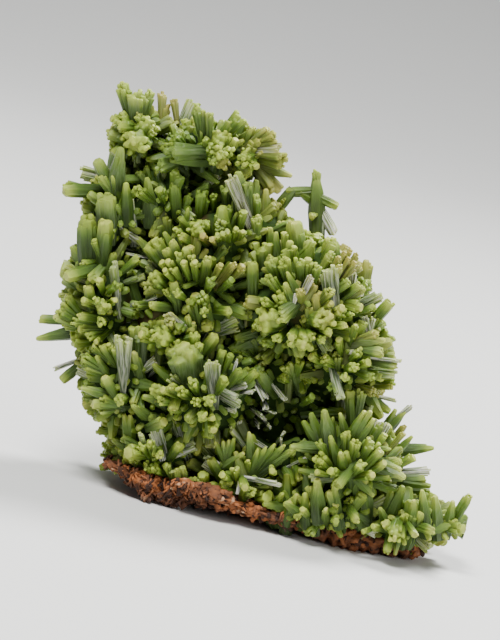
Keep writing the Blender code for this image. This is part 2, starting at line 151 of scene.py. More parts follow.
def surfaceAt(x, y):
    # the front of the mass at a picture position, or the nearest point of its outline
    front, nearest = None, None
    for lobe in lobes.values():
        middle = place(*lobe[:3])
        start = inLobe(lobe, place(x, y, 0.0) - middle)
        step = inLobe(lobe, place(x, y, 1.0) - place(x, y, 0.0))
        along = -start.dot(step) / step.length_squared
        closest = start + step * along
        if closest.length < 1.0:
            reach = along + math.sqrt((1.0 - closest.length_squared) / step.length_squared)
            if front is None or reach > front[0]:
                local = start + step * reach
                front = (reach, middle + outOfLobe(lobe, local), lobeNormal(lobe, local))
        else:
            miss = (closest.length - 1.0) * min(lobe[3:5])
            if nearest is None or miss < nearest[0]:
                local = closest.normalized()
                nearest = (miss, middle + outOfLobe(lobe, local), lobeNormal(lobe, local))
    return (front or nearest)[1:]


# Hollows between the crystals: picture x, y and radius, then how far each goes in, in metres
hollows = (
    (224, 284, 23, 0.0030), (304, 412, 30, 0.0052), (262, 410, 26, 0.0040), (334, 402, 18, 0.0040),
    (234, 192, 24, 0.0032), (153, 152, 10, 0.0020), (190, 197, 12, 0.0022), (172, 275, 9, 0.0012),
    (212, 352, 10, 0.0015), (240, 345, 10, 0.0015), (140, 272, 9, 0.0012), (355, 400, 12, 0.0020),
    (345, 482, 12, 0.0016), (262, 288, 10, 0.0014), (318, 372, 8, 0.0012), (196, 173, 16, 0.0034),
    (212, 200, 14, 0.0030), (200, 281, 15, 0.0022), (276, 428, 22, 0.0042), (243, 392, 16, 0.0030),
    (318, 352, 9, 0.0018), (281, 346, 8, 0.0014), (166, 304, 8, 0.0014), (445, 500, 13, 0.0020),
    (428, 500, 8, 0.0016), (462, 506, 6, 0.0014),
)


def hollowDepth(x, y):
    depth = 0.0
    for spotX, spotY, radius, most in hollows:
        near = 1.0 - (math.hypot(x - spotX, y - spotY) / radius) ** 2
        depth = max(depth, most * min(max(near * 1.8, 0.0), 1.0))
    return depth


def sideCrystal(tipX, tipY, rootX, rootY):
    root, normal = surfaceAt(rootX, rootY)
    depth = (root - view["target"]).dot(toward)
    shown = (place(tipX, tipY, depth) - root).length
    lean = min(max(normal.dot(toward), 0.0), 1.0) * growth["lean"]
    root = root - toward * hollowDepth(rootX, rootY)
    return root, place(tipX, tipY, depth + shown * lean)


def headCrystal(x, y, length):
    direction = (surfaceAt(x, y)[1] + toward * growth["headFacing"] + up * growth["headRise"]).normalized()
    rootX = x - direction.dot(right) * length / view["metresPerPixel"]
    rootY = y + direction.dot(up) * length / view["metresPerPixel"]
    root = surfaceAt(rootX, rootY)[0]
    return root, root + direction * length


def buried(point, own, share=1.0):
    return any(
        lobe is not own and inLobe(lobe, point - place(*lobe[:3])).length < share
        for lobe in lobes.values()
    )


def showsPast(point, reach):
    for lobe in lobes.values():
        offset = point - place(*lobe[:3])
        local = inLobe(lobe, offset)
        shown = math.hypot(offset.dot(right), offset.dot(up))
        if shown * (1.0 - 1.0 / math.hypot(local.x, local.y)) < reach:
            return False
    return True


def fillCrystals(fill):
    # crystals over the lumps that are not listed one by one: root, tip and width of each
    chance = random.Random(fill["seed"])
    roots, found = [], []
    goldenTurn = math.pi * (3.0 - math.sqrt(5.0))
    for lobe in lobes.values():
        middle = place(*lobe[:3])
        for step in range(fill["tries"]):
            height = 1.0 - (2.0 * step + 1.0) / fill["tries"]
            ring = math.sqrt(1.0 - height * height)
            turn = goldenTurn * step
            sway = Vector((chance.uniform(-1, 1), chance.uniform(-1, 1), chance.uniform(-1, 1)))
            local = Vector((ring * math.cos(turn), ring * math.sin(turn), height)) + sway * growth["stray"]
            local.normalize()
            root = middle + outOfLobe(lobe, local)
            normal = lobeNormal(lobe, local)
            along = right * local.x + up * (local.y + fill["rise"])
            direction = normal * (1.0 - fill["swing"]) + along * fill["swing"] + sway * fill["sway"]
            direction.normalize()
            length = chance.uniform(*fill["length"])
            width = chance.uniform(*fill["width"])
            lowest = min(root.z + direction.z * length, root.z)
            if normal.dot(toward) > fill["facing"] or lowest < fill["lowest"]:
                continue
            if any((root - other).length < fill["spacing"] for other in roots) or buried(root, lobe):
                continue
            # one that would show past the outline stays short
            shortest = length * growth["shortened"]
            while length > shortest and showsPast(root + direction * length, fill["reach"]):
                length *= 0.8
            if showsPast(root + direction * length, fill["reach"]):
                continue
            roots.append(root)
            found.append((root, root + direction * length, width))
    return found


# The crystals are copies of a few masters, each 1 wide and 3 high with its tip at height 0. What is
# above the neck keeps its shape on every copy, and what is below is stretched down to the root.
masterShape = {
    "height": 3.0,
    "neck": -1.4,
    "sides": 6,
    "seed": 11,
    "variants": {
        "castle": 8, "grand": 5, "barrel": 6, "taper": 5, "spear": 3, "silk": 4, "knob": 5, "bud": 3,
    },
    "melted": 0.70,            # share of the castles whose fingers grew into one body
    "voxel": 0.034,
    "soften": 0.15,
    "faces": {"castle": 440, "grand": 900},
    "smoothAngle": math.radians(38),
}
# rings from the root up: height and share of the radius
fingerForms = {
    "body": ((-3.0, 0.62), (-1.5, 0.74), (-0.7, 0.92), (-0.10, 1.0), (0.0, 0.88)),
    "knob": ((-2.2, 0.70), (-0.45, 0.92), (-0.06, 1.0), (0.0, 0.72)),
    "barrel": ((-3.0, 0.70), (-1.6, 0.92), (-0.8, 1.0), (-0.14, 0.90), (0.0, 0.66)),
    "taper": ((-3.0, 0.90), (-1.9, 1.08), (-1.1, 0.88), (-0.45, 0.56), (-0.06, 0.42), (0.0, 0.28)),
    "point": ((-3.0, 1.0), (-1.7, 0.92), (-0.8, 0.62), (-0.16, 0.36), (0.0, 0.20)),
    "bud": ((-3.0, 0.80), (-0.35, 1.0), (0.0, 0.62)),
    "blade": ((-3.0, 0.70), (-1.2, 1.0), (0.0, 0.96)),
}


def deselectAll():
    if bpy.context.object and bpy.context.object.mode != "OBJECT":
        bpy.ops.object.mode_set(mode="OBJECT")
    bpy.ops.object.select_all(action="DESELECT")


def makeActive(piece):
    deselectAll()
    piece.select_set(True)
    bpy.context.view_layer.objects.active = piece


def selectFaces(piece, wanted):
    bpy.ops.object.mode_set(mode="EDIT")
    bpy.ops.mesh.select_mode(type="FACE")
    bpy.ops.mesh.select_all(action="DESELECT")
    bpy.ops.object.mode_set(mode="OBJECT")
    for polygon in piece.data.polygons:
        polygon.select = wanted(polygon)
    bpy.ops.object.mode_set(mode="EDIT")


def applyModifiers(piece):
    makeActive(piece)
    for modifier in list(piece.modifiers):
        bpy.ops.object.modifier_apply(modifier=modifier.name)


def makeFinger(form):
    rings = fingerForms[form]
    low, high = rings[0][0], rings[1][0]
    deselectAll()
    bpy.ops.mesh.primitive_cylinder_add(
        vertices=masterShape["sides"], radius=1.0, depth=high - low, location=(0, 0, (low + high) / 2),
    )
    finger = bpy.context.object
    bpy.ops.object.transform_apply(location=True, rotation=True, scale=True)
    selectFaces(finger, lambda polygon: polygon.normal.z < -0.9)
    bpy.ops.transform.resize(value=(rings[0][1], rings[0][1], 1.0), center_override=(0, 0, 0))
    bpy.ops.object.mode_set(mode="OBJECT")
    selectFaces(finger, lambda polygon: polygon.normal.z > 0.9)
    bpy.ops.transform.resize(value=(rings[1][1], rings[1][1], 1.0), center_override=(0, 0, 0))
    for below, ring in zip(rings[1:], rings[2:]):
        bpy.ops.mesh.extrude_region_move(TRANSFORM_OT_translate={"value": (0, 0, ring[0] - below[0])})
        share = ring[1] / below[1]
        bpy.ops.transform.resize(value=(share, share, 1.0), center_override=(0, 0, 0))
    bpy.ops.object.mode_set(mode="OBJECT")
    finger.name = form + "Finger"
    return finger


def readPoints(mesh):
    points = np.empty(len(mesh.vertices) * 3, dtype=np.float32)
    mesh.vertices.foreach_get("co", points)
    return points.reshape(-1, 3)


def writePoints(mesh, points):
    mesh.vertices.foreach_set("co", points.astype(np.float32).ravel())
    mesh.update()


def copyOf(master):
    copied = master.copy()
    copied.data = master.data.copy()
    bpy.context.scene.collection.objects.link(copied)
    return copied


def joinAll(name, made):
    deselectAll()
    for piece in made:
        piece.select_set(True)
    bpy.context.view_layer.objects.active = made[0]
    if len(made) > 1:
        bpy.ops.object.join()
    joined = bpy.context.object
    joined.name = name
    joined.data.name = name
    return joined


def putFinger(form, x, y, top, radius, flat=1.0, turn=0.0, flare=0.62):
    # one finger of a crystal: its tip is at x, y and top, and it leans in towards the axis at its foot
    finger = copyOf(fingerMasters[form])
    points = readPoints(finger.data)
    low = points[:, 2].min()
    share = points[:, 2] / low
    points[:, 0] *= radius
    points[:, 1] *= radius * flat
    spun = np.array(Matrix.Rotation(turn, 2), dtype=np.float32)
    points[:, :2] = points[:, :2] @ spun.T
    pull = 1.0 - (1.0 - flare) * share
    points[:, 0] += x * pull
    points[:, 1] += y * pull
    points[:, 2] += top * (1.0 - share)
    writePoints(finger.data, points)
    return finger


def ringOf(chance, form, count, away, tops, radii, turn=0.0, flare=0.62):
    # fingers that stand in a ring, each a little out of line
    fingers = []
    for index in range(count):
        angle = turn + 2.0 * math.pi * (index + chance.uniform(-0.34, 0.34)) / count
        reach = away * chance.uniform(0.68, 1.12)
        x, y = math.cos(angle) * reach, math.sin(angle) * reach
        top, radius = chance.uniform(*tops), chance.uniform(*radii)
        fingers.append(putFinger(form, x, y, top, radius, 1.0, angle, flare))
    return fingers


def addRemesh(piece, voxel, smooth=False):
    remesh = piece.modifiers.new("melt", "REMESH")
    remesh.mode = "VOXEL"
    remesh.voxel_size = voxel
    remesh.use_smooth_shade = smooth


def melt(master, faces):
    # the fingers grow into one body with soft valleys between them
    addRemesh(master, masterShape["voxel"])
    soften = master.modifiers.new("soften", "SMOOTH")
    soften.factor = masterShape["soften"]
    soften.iterations = 1
    applyModifiers(master)
    thin = master.modifiers.new("thin", "DECIMATE")
    thin.ratio = faces / (2.0 * len(master.data.polygons))
    applyModifiers(master)
    return master


def makeCastle(name, chance):
    fingers = [putFinger("body", 0.0, 0.0, -0.50, 0.35, chance.uniform(0.8, 1.0), chance.uniform(0, 2))]
    outer = chance.choice((6, 7))
    fingers += ringOf(chance, "knob", outer, 0.35, (-0.66, -0.05), (0.11, 0.18), chance.uniform(0, 2), 0.5)
    fingers += ringOf(chance, "knob", 3, 0.18, (-0.36, 0.04), (0.11, 0.17), chance.uniform(0, 2))
    castle = joinAll(name, fingers)
    return melt(castle, masterShape["faces"]["castle"]) if chance.random() < masterShape["melted"] else castle


def makeGrand(name, chance):
    fingers = [putFinger("body", 0.0, 0.0, -0.42, 0.38, chance.uniform(0.75, 1.0), chance.uniform(0, 2))]
    outer = chance.choice((8, 9))
    fingers += ringOf(chance, "knob", outer, 0.40, (-0.62, -0.10), (0.09, 0.14), chance.uniform(0, 2), 0.5)
    fingers += ringOf(chance, "knob", 5, 0.23, (-0.34, 0.0), (0.09, 0.14), chance.uniform(0, 2))
    fingers += ringOf(chance, "knob", 2, 0.08, (-0.20, 0.02), (0.09, 0.13))
    return melt(joinAll(name, fingers), masterShape["faces"]["grand"])


def makeKnob(name, chance):
    fingers = [putFinger("knob", 0.0, 0.0, 0.0, chance.uniform(0.30, 0.38), 0.9, chance.uniform(0, 2))]
    fingers += ringOf(chance, "knob", 3, 0.27, (-0.60, -0.10), (0.17, 0.24), chance.uniform(0, 2), 0.7)
    return joinAll(name, fingers)


def makeBarrel(name, chance):
    # a thick crystal that is fluted by the thinner ones grown along it, so its end is uneven
    top = chance.uniform(-0.16, 0.0)
    fingers = [putFinger("barrel", 0.0, 0.0, top, 0.42, chance.uniform(0.75, 1.0), chance.uniform(0, 2))]
    fingers += ringOf(chance, "barrel", 3, 0.25, (-0.60, 0.0), (0.17, 0.28), chance.uniform(0, 2), 0.95)
    fingers += ringOf(chance, "knob", 4, 0.22, (-0.22, 0.06), (0.09, 0.15), chance.uniform(0, 2), 0.9)
    return joinAll(name, fingers)


def makeTaper(name, chance):
    fingers = [putFinger("taper", 0.0, 0.0, 0.0, 0.48, chance.uniform(0.8, 1.0), chance.uniform(0, 2))]
    fingers += ringOf(chance, "blade", 3, 0.17, (-0.75, -0.06), (0.10, 0.15), chance.uniform(0, 2), 1.9)
    fingers += ringOf(chance, "taper", 2, 0.20, (-1.0, -0.35), (0.24, 0.32), chance.uniform(0, 2), 1.0)
    return joinAll(name, fingers)


def makeSpear(name, chance):
    fingers = [putFinger("point", 0.0, 0.0, 0.0, 0.46, chance.uniform(0.8, 1.0), chance.uniform(0, 2))]
    fingers += ringOf(chance, "point", 4, 0.20, (-1.3, -0.3), (0.20, 0.28), chance.uniform(0, 2), 0.9)
    return joinAll(name, fingers)


def makeSilk(name, chance):
    fingers = []
    for index in range(7):
        side = -0.40 + 0.80 * index / 6
        top = chance.uniform(-0.50, 0.0)
        depth, radius = chance.uniform(-0.10, 0.10), chance.uniform(0.09, 0.13)
        fingers.append(putFinger("blade", side, depth, top, radius, 1.3))
    fingers.append(putFinger("blade", 0.0, 0.0, -0.25, 0.26, 0.8))
    return joinAll(name, fingers)


def makeBud(name, chance):
    flat, turn = chance.uniform(0.8, 1.0), chance.uniform(0, 2)
    return joinAll(name, [putFinger("bud", 0.0, 0.0, 0.0, 0.5, flat, turn)])


def makeMasters():
    chance = random.Random(masterShape["seed"])
    makers = {
        "castle": makeCastle, "grand": makeGrand, "barrel": makeBarrel, "taper": makeTaper,
        "spear": makeSpear, "silk": makeSilk, "knob": makeKnob, "bud": makeBud,
    }
    made = {}
    for form, maker in makers.items():
        made[form] = [maker(form + str(index), chance) for index in range(masterShape["variants"][form])]
        for master in made[form]:
            for name, kind in (("paleTipAndLight", "FLOAT"), ("grain", "FLOAT_VECTOR"), ("kind", "FLOAT_VECTOR")):
                master.data.attributes.new(name, kind, "POINT")
    return made


fingerMasters = {form: makeFinger(form) for form in fingerForms}
masters = makeMasters()
print("masters modelled:", {form: len(made[0].data.polygons) for form, made in masters.items()})


def intoBox(point):
    low, high = cadBox
    margin = growth["boxMargin"]
    return Vector(min(max(point[i], low[i] + margin), high[i] - margin) for i in range(3))


def growCrystal(form, root, tip, width, tan, silk, chance, paintedLight=1.0):
    crystal = copyOf(chance.choice(masters[form]))
    direction = (tip - root).normalized()
    tip = intoBox(tip + direction * width * 0.3) - direction * width * 0.3
    direction = (tip - root).normalized()
    length = (tip - root).length + growth["sink"]
    points = readPoints(crystal.data)
    neck, height = masterShape["neck"], masterShape["height"]
    lift = min(width, 0.50 * length)
    local = points.copy()
    local[:, :2] *= width
    below = (neck - points[:, 2]) / (height + neck)
    local[:, 2] = np.where(below > 0.0, neck * lift - below * (length + neck * lift), points[:, 2] * lift)
    spin = Matrix.Rotation(chance.uniform(0.0, math.pi), 3, "Z")
    turn = direction.to_track_quat("Z", "Y").to_matrix() @ spin
    world = local @ np.array(turn, dtype=np.float32).T + np.array(tip, dtype=np.float32)
    low, high = np.array(cadBox) + np.array(((1.0,), (-1.0,))) * growth["boxMargin"]
    writePoints(crystal.data, np.clip(world, low, high))
    # paler towards the tip: partly the crystals' own paler ends and partly painted light, times the painted
    # light share
    paleTipAndLight = np.clip(1.0 + points[:, 2] / 0.95, 0.0, 1.0) * paintedLight
    crystal.data.attributes["paleTipAndLight"].data.foreach_set("value", paleTipAndLight.astype(np.float32))
    grain = local * 1000.0
    grain[:, 0] += chance.uniform(0.0, 60.0)
    grain[:, 1] += chance.uniform(0.0, 60.0)
    crystal.data.attributes["grain"].data.foreach_set("vector", grain.ravel())
    kind = np.tile(np.array((tan, silk, chance.random()), dtype=np.float32), len(grain))
    crystal.data.attributes["kind"].data.foreach_set("vector", kind)
    return crystal


# Where the crystals turn from green to tan or ochre: picture x, y, radius and how much
tanSpots = (
    (166, 99, 13, 1.0), (275, 140, 24, 0.55), (288, 170, 22, 0.45), (352, 255, 16, 0.9), (226, 170, 9, 0.5),
    (202, 243, 12, 0.9), (241, 266, 9, 0.8), (384, 396, 12, 0.7), (276, 196, 14, 0.6), (308, 285, 14, 0.7),
    (372, 336, 12, 0.6), (247, 300, 8, 0.6), (174, 316, 10, 0.5), (332, 303, 14, 0.4), (300, 320, 12, 0.4),
    (405, 425, 9, 0.8), (221, 266, 8, 0.7),
)


# Painted shade: where the crystals are darkened for the shade in the recesses and gaps between them: picture
# x, y, radius and how much
paintedShadeSpots = (
    (186, 152, 26, 1.0), (117, 165, 18, 0.7), (124, 275, 16, 0.7), (150, 182, 18, 0.7), (108, 205, 18, 0.5),
    (225, 285, 24, 0.8), (215, 200, 26, 0.7), (240, 192, 20, 0.7), (130, 318, 12, 0.7), (300, 412, 34, 1.0),
    (255, 400, 30, 1.0), (240, 360, 22, 0.8), (320, 400, 26, 0.9), (222, 222, 14, 0.5), (403, 492, 14, 0.7),
    (196, 186, 30, 1.0), (176, 176, 18, 0.9), (228, 284, 22, 1.0), (262, 356, 16, 0.7), (86, 240, 14, 0.4),
    (150, 208, 20, 0.6), (100, 360, 14, 0.4), (345, 475, 14, 0.4),
)


# how far past its radius a spot fades out
spotFade = {"tan": 1.4, "shade": 1.3}


def spotAt(spots, fade, x, y):
    share = 0.0
    for spotX, spotY, radius, much in spots:
        near = 1.0 - math.hypot(x - spotX, y - spotY) / (radius * fade)
        share = max(share, min(near * 2.0, 1.0) * much)
    return share


def tanAt(x, y):
    return spotAt(tanSpots, spotFade["tan"], x, y)


def shadeAt(x, y):
    return spotAt(paintedShadeSpots, spotFade["shade"], x, y)


# the share of painted light on a crystal: below 1 it is darkened as painted shade
def brightAt(x, y):
    return 1.0 - growth["paintedShade"] * shadeAt(x, y)


def pixelOf(point):
    offset = point - view["target"]
    scale = view["metresPerPixel"] * (1.0 - offset.dot(toward) / view["distance"])
    return view["centreX"] + offset.dot(right) / scale, view["centreY"] - offset.dot(up) / scale


# The pieces. Each has crystals seen from the side, as tip x, tip y, root x, root y, width in mm and
# form, and heads, which point at the viewer, as tip x, tip y, width in mm and form. One with no form
# is a castle.
crown = {
    "seed": 21,
    "sides": (
        (122, 82, 131, 122, 2.2), (139, 84, 137, 122, 3.0, "grand"), (152, 87, 143, 120, 1.6),
        (137, 113, 146, 132, 1.4), (114, 124, 135, 128, 2.2), (111, 118, 130, 124, 1.4, "knob"),
        (120, 114, 133, 124, 1.4), (113, 154, 124, 143, 1.4, "barrel"), (121, 148, 115, 190, 2.8, "barrel"),
        (162, 91, 166, 125, 1.5), (174, 97, 169, 125, 1.3), (168, 103, 168, 127, 1.4),
        (155, 168, 185, 157, 2.2), (166, 152, 212, 152, 2.9), (170, 160, 208, 160, 1.9, "barrel"),
        (128, 130, 134, 136, 1.8),
    ),
    "heads": (
        (148, 116, 3.1, "grand"), (133, 143, 3.9, "grand"), (166, 140, 2.8), (157, 128, 1.8),
        (145, 152, 1.9), (122, 134, 1.9), (178, 130, 1.8),
    ),
}
topRidge = {
    "seed": 22,
    "sides": (
        (194, 100, 174, 126, 1.9, "silk"), (196, 104, 202, 142, 1.6), (203, 110, 204, 142, 1.0, "barrel"),
        (210, 111, 209, 145, 1.4), (243, 113, 222, 136, 2.2), (244, 119, 238, 136, 1.2, "barrel"),
        (249, 177, 236, 156, 1.9, "barrel"), (253, 127, 245, 146, 1.3, "barrel"),
        (268, 128, 247, 146, 1.4, "barrel"), (276, 134, 248, 147, 1.6), (277, 141, 250, 148, 1.2, "barrel"),
        (281, 148, 250, 149, 1.5, "silk"), (287, 158, 252, 154, 1.7), (292, 176, 258, 166, 1.4, "barrel"),
        (277, 195, 256, 168, 2.8), (268, 192, 255, 172, 1.6, "silk"), (267, 161, 255, 158, 0.6, "silk"),
        (270, 170, 262, 166, 0.6, "silk"), (238, 172, 244, 216, 2.4, "barrel"), (247, 180, 250, 218, 1.9),
        (256, 180, 254, 208, 1.7, "barrel"), (226, 184, 226, 210, 1.9), (266, 189, 266, 214, 1.6, "barrel"),
        (232, 119, 222, 138, 1.4), (284, 166, 254, 158, 1.4), (262, 140, 246, 150, 1.3),
    ),
    "heads": (
        (218, 131, 2.8, "grand"), (222, 150, 2.8, "grand"), (226, 168, 2.5), (241, 165, 2.5),
        (228, 133, 1.9), (245, 150, 1.6), (257, 168, 1.6), (207, 138, 1.8), (232, 152, 1.9),
        (212, 148, 1.6), (236, 140, 1.5), (214, 164, 1.5), (202, 128, 1.5), (264, 152, 1.4),
    ),
}
shoulder = {
    "seed": 23,
    "sides": (
        (219, 183, 190, 162, 1.6, "spear"), (164, 177, 190, 168, 1.2, "silk"),
        (186, 188, 186, 172, 0.9, "barrel"), (203, 189, 200, 214, 2.2), (229, 176, 250, 226, 1.9, "silk"),
        (256, 193, 256, 220, 1.6), (146, 166, 150, 180, 0.9, "barrel"), (165, 200, 160, 178, 1.2, "barrel"),
        (147, 178, 151, 212, 2.8, "spear"), (117, 180, 145, 179, 1.2, "barrel"),
        (126, 183, 127, 212, 1.7, "barrel"), (97, 160, 112, 190, 1.9, "barrel"),
        (59, 190, 102, 191, 2.2, "barrel"), (78, 172, 106, 179, 1.9, "silk"),
        (106, 194, 108, 228, 3.7, "barrel"), (127, 198, 133, 233, 1.7, "silk"),
        (89, 198, 95, 222, 1.2, "barrel"), (276, 205, 264, 212, 0.9, "silk"), (62, 184, 100, 190, 1.3),
        (174, 182, 176, 205, 1.6, "barrel"), (190, 194, 184, 214, 1.4), (112, 176, 118, 196, 1.4, "spear"),
        (240, 199, 240, 222, 1.4), (214, 193, 214, 212, 1.3),
    ),
    "heads": (
        (137, 190, 1.9), (160, 190, 1.6, "knob"), (176, 172, 1.5), (228, 206, 1.5), (100, 176, 1.6),
        (244, 212, 1.5, "knob"),
    ),
}
leftEdge = {
    "seed": 24,
    "sides": (
        (87, 216, 88, 262, 2.9, "barrel"), (106, 221, 103, 263, 2.5, "barrel"),
        (66, 277, 96, 268, 2.0, "barrel"), (90, 282, 106, 264, 1.9), (113, 263, 118, 304, 2.2, "silk"),
        (124, 268, 135, 300, 3.1, "barrel"), (88, 286, 93, 312, 1.6, "barrel"), (66, 296, 92, 330, 1.4),
        (60, 303, 92, 330, 1.4), (56, 310, 92, 330, 1.4), (54, 316, 92, 332, 1.4, "knob"),
        (39, 319, 72, 327, 1.4, "barrel"), (36, 339, 72, 345, 2.0, "spear"),
        (165, 294, 128, 308, 0.8, "silk"), (160, 304, 128, 306, 0.8, "silk"),
        (149, 289, 150, 302, 1.1, "barrel"), (157, 289, 152, 303, 1.1, "barrel"),
        (53, 369, 78, 352, 0.9, "silk"), (61, 381, 86, 360, 1.6, "barrel"), (80, 360, 106, 374, 1.4),
        (83, 355, 106, 372, 1.4), (96, 356, 106, 374, 1.4, "barrel"), (85, 367, 106, 375, 1.4, "knob"),
        (81, 388, 108, 396, 1.9, "spear"), (104, 377, 118, 399, 1.6, "barrel"),
        (92, 404, 122, 406, 1.6, "barrel"), (100, 397, 122, 404, 1.4), (97, 411, 122, 408, 1.4),
        (80, 266, 96, 262, 1.4), (84, 240, 94, 256, 1.5, "barrel"),
    ),
    "heads": (
        (150, 274, 2.5, "grand"), (70, 338, 2.8, "grand"), (103, 306, 2.5), (116, 300, 1.2, "knob"),
        (102, 322, 1.6), (62, 325, 1.5), (71, 322, 1.5), (79, 329, 1.5), (87, 337, 1.5), (92, 345, 1.3),
        (97, 342, 1.2, "knob"), (103, 346, 1.3), (109, 344, 1.2, "knob"), (115, 348, 1.3), (80, 316, 1.4),
        (96, 300, 1.4), (84, 300, 1.5, "knob"), (118, 284, 1.4), (100, 280, 1.5, "knob"),
        (95, 240, 1.4, "knob"),
    ),
}
centreLeft = {
    "seed": 25,
    "sides": (
        (140, 322, 140, 360, 3.1), (155, 317, 160, 350, 1.9), (163, 319, 160, 350, 1.7, "barrel"),
        (136, 230, 150, 245, 1.9, "barrel"), (160, 214, 165, 243, 2.8), (153, 217, 162, 240, 1.4, "knob"),
        (168, 212, 168, 240, 1.5), (152, 213, 137, 216, 1.2, "barrel"), (113, 243, 125, 248, 0.6, "silk"),
        (125, 253, 150, 258, 0.7, "silk"), (188, 208, 185, 232, 1.3, "spear"),
        (222, 207, 222, 235, 3.4, "barrel"), (237, 212, 231, 228, 1.1, "spear"), (256, 216, 258, 246, 1.6),
        (250, 236, 252, 262, 1.1, "barrel"), (258, 230, 258, 258, 1.4, "barrel"),
        (270, 227, 271, 255, 1.2, "barrel"), (276, 232, 277, 260, 1.2, "barrel"),
        (284, 232, 284, 260, 1.2, "knob"), (290, 241, 289, 266, 1.2, "barrel"),
        (294, 246, 292, 270, 1.1, "knob"), (263, 240, 265, 265, 3.1), (230, 250, 252, 264, 1.7, "knob"),
        (253, 262, 253, 294, 1.9, "barrel"), (222, 292, 236, 316, 2.2), (173, 281, 178, 306, 1.6, "barrel"),
        (165, 288, 178, 306, 1.5), (186, 298, 200, 326, 2.5), (195, 294, 200, 318, 1.8, "barrel"),
        (246, 299, 246, 313, 1.2), (240, 317, 208, 332, 1.6, "silk"), (239, 328, 210, 335, 1.4, "silk"),
        (213, 328, 202, 342, 1.2, "silk"), (167, 313, 186, 329, 1.4, "silk"),
        (187, 316, 190, 332, 1.1, "barrel"), (193, 322, 194, 338, 1.1, "knob"),
        (183, 343, 189, 374, 4.6, "grand"), (173, 340, 186, 366, 1.6), (166, 347, 184, 368, 1.5),
        (195, 331, 191, 362, 1.6), (199, 341, 193, 366, 1.5), (216, 335, 200, 356, 1.9, "barrel"),
        (208, 360, 213, 397, 1.4, "silk"), (215, 360, 215, 397, 1.4, "silk"), (124, 363, 144, 383, 1.4),
        (157, 359, 142, 371, 1.2, "silk"), (170, 352, 155, 370, 1.6, "silk"),
        (172, 410, 176, 392, 1.6, "barrel"), (132, 405, 138, 388, 1.4, "barrel"), (140, 415, 140, 392, 1.3),
        (118, 336, 122, 388, 2.0, "silk"), (128, 338, 124, 388, 2.0, "silk"),
        (133, 352, 140, 378, 1.6, "barrel"), (205, 300, 208, 322, 1.8, "barrel"),
    ),
    "heads": (
        (141, 334, 1.8, "knob"), (158, 335, 3.1, "grand"), (150, 240, 3.4, "grand"),
        (196, 225, 3.1, "grand"), (220, 222, 1.9), (175, 230, 1.5), (172, 241, 1.5), (181, 236, 1.5),
        (186, 249, 1.5), (178, 253, 1.5), (165, 250, 1.4), (190, 247, 1.4, "knob"), (162, 262, 1.3),
        (168, 261, 1.3, "knob"), (173, 268, 1.3), (165, 270, 1.3), (192, 255, 1.3), (184, 262, 1.3, "knob"),
        (195, 262, 1.3), (203, 236, 1.4), (212, 240, 1.2, "knob"), (218, 236, 1.2), (223, 234, 1.2, "knob"),
        (228, 232, 1.2), (236, 229, 1.2), (243, 232, 1.1, "knob"), (235, 264, 1.3), (243, 266, 1.3),
        (221, 265, 1.3, "knob"), (210, 400, 1.9), (150, 388, 2.5, "grand"), (163, 389, 1.4),
        (170, 386, 1.4), (120, 400, 1.8), (208, 258, 1.6), (212, 280, 1.7), (232, 280, 1.4),
        (205, 312, 1.5), (150, 305, 1.5), (180, 390, 1.7), (192, 380, 1.8), (225, 378, 1.6, "knob"),
        (140, 258, 1.6), (230, 312, 1.4), (196, 402, 1.6), (158, 400, 1.5), (176, 292, 1.4),
        (205, 222, 1.6),
    ),
}
ledgeFront = {
    "seed": 26, "tapered": 0.75,
    "sides": (
        (124, 414, 130, 444, 1.4), (130, 415, 131, 444, 1.4, "barrel"), (95, 430, 122, 431, 1.4),
        (102, 424, 122, 431, 1.4, "barrel"), (112, 424, 122, 432, 1.4), (119, 429, 112, 457, 1.7, "silk"),
        (144, 413, 166, 419, 1.2, "barrel"), (152, 426, 165, 466, 2.2, "barrel"),
        (140, 432, 146, 452, 1.4, "silk"), (117, 457, 116, 472, 1.2, "barrel"),
        (134, 462, 145, 467, 0.9, "knob"), (174, 414, 187, 457, 1.9, "silk"),
        (189, 423, 191, 452, 1.4, "barrel"), (200, 431, 200, 456, 1.9), (249, 432, 252, 464, 1.7, "spear"),
        (215, 442, 225, 462, 1.1, "barrel"), (223, 441, 226, 462, 1.1), (229, 440, 227, 462, 1.1, "barrel"),
        (234, 438, 228, 462, 1.1), (244, 453, 228, 464, 1.4, "barrel"), (248, 460, 249, 474, 0.9, "knob"),
        (258, 449, 252, 474, 1.4, "spear"), (266, 447, 253, 474, 1.4, "spear"),
        (275, 444, 254, 474, 1.4, "spear"), (285, 445, 255, 475, 1.5, "spear"),
        (295, 449, 256, 475, 1.5, "spear"), (282, 485, 240, 477, 1.2, "silk"), (195, 445, 196, 462, 1.4),
        (256, 489, 270, 513, 2.5, "barrel"), (287, 474, 286, 520, 1.9, "barrel"),
        (297, 494, 290, 513, 1.6, "barrel"), (305, 493, 306, 515, 1.7, "barrel"),
        (304, 465, 308, 494, 1.4, "spear"), (317, 479, 318, 510, 2.2, "barrel"),
        (312, 456, 290, 467, 1.2, "silk"), (325, 443, 322, 462, 0.9, "spear"),
        (290, 447, 325, 447, 1.7, "barrel"), (346, 452, 351, 482, 2.2), (335, 487, 353, 464, 2.0, "barrel"),
        (334, 486, 337, 516, 1.5, "barrel"), (328, 491, 337, 516, 1.5, "barrel"),
        (281, 438, 281, 452, 0.7, "silk"), (270, 492, 276, 514, 1.5), (312, 500, 314, 522, 1.5),
        (262, 478, 262, 500, 1.5, "barrel"),
    ),
    "heads": (
        (128, 452, 2.5, "knob"), (165, 421, 1.8, "knob"), (245, 487, 1.5, "knob"), (315, 456, 2.5),
        (316, 471, 1.2, "knob"), (335, 503, 1.5, "knob"), (150, 440, 1.7), (180, 444, 1.6), (210, 458, 1.6),
        (235, 466, 1.6), (140, 444, 1.5), (300, 478, 1.5), (272, 470, 1.6), (288, 502, 1.5),
        (325, 508, 1.5), (222, 474, 1.5, "knob"), (160, 455, 1.5), (330, 470, 1.6), (258, 502, 1.3),
        (302, 508, 1.4, "knob"),
    ),
}
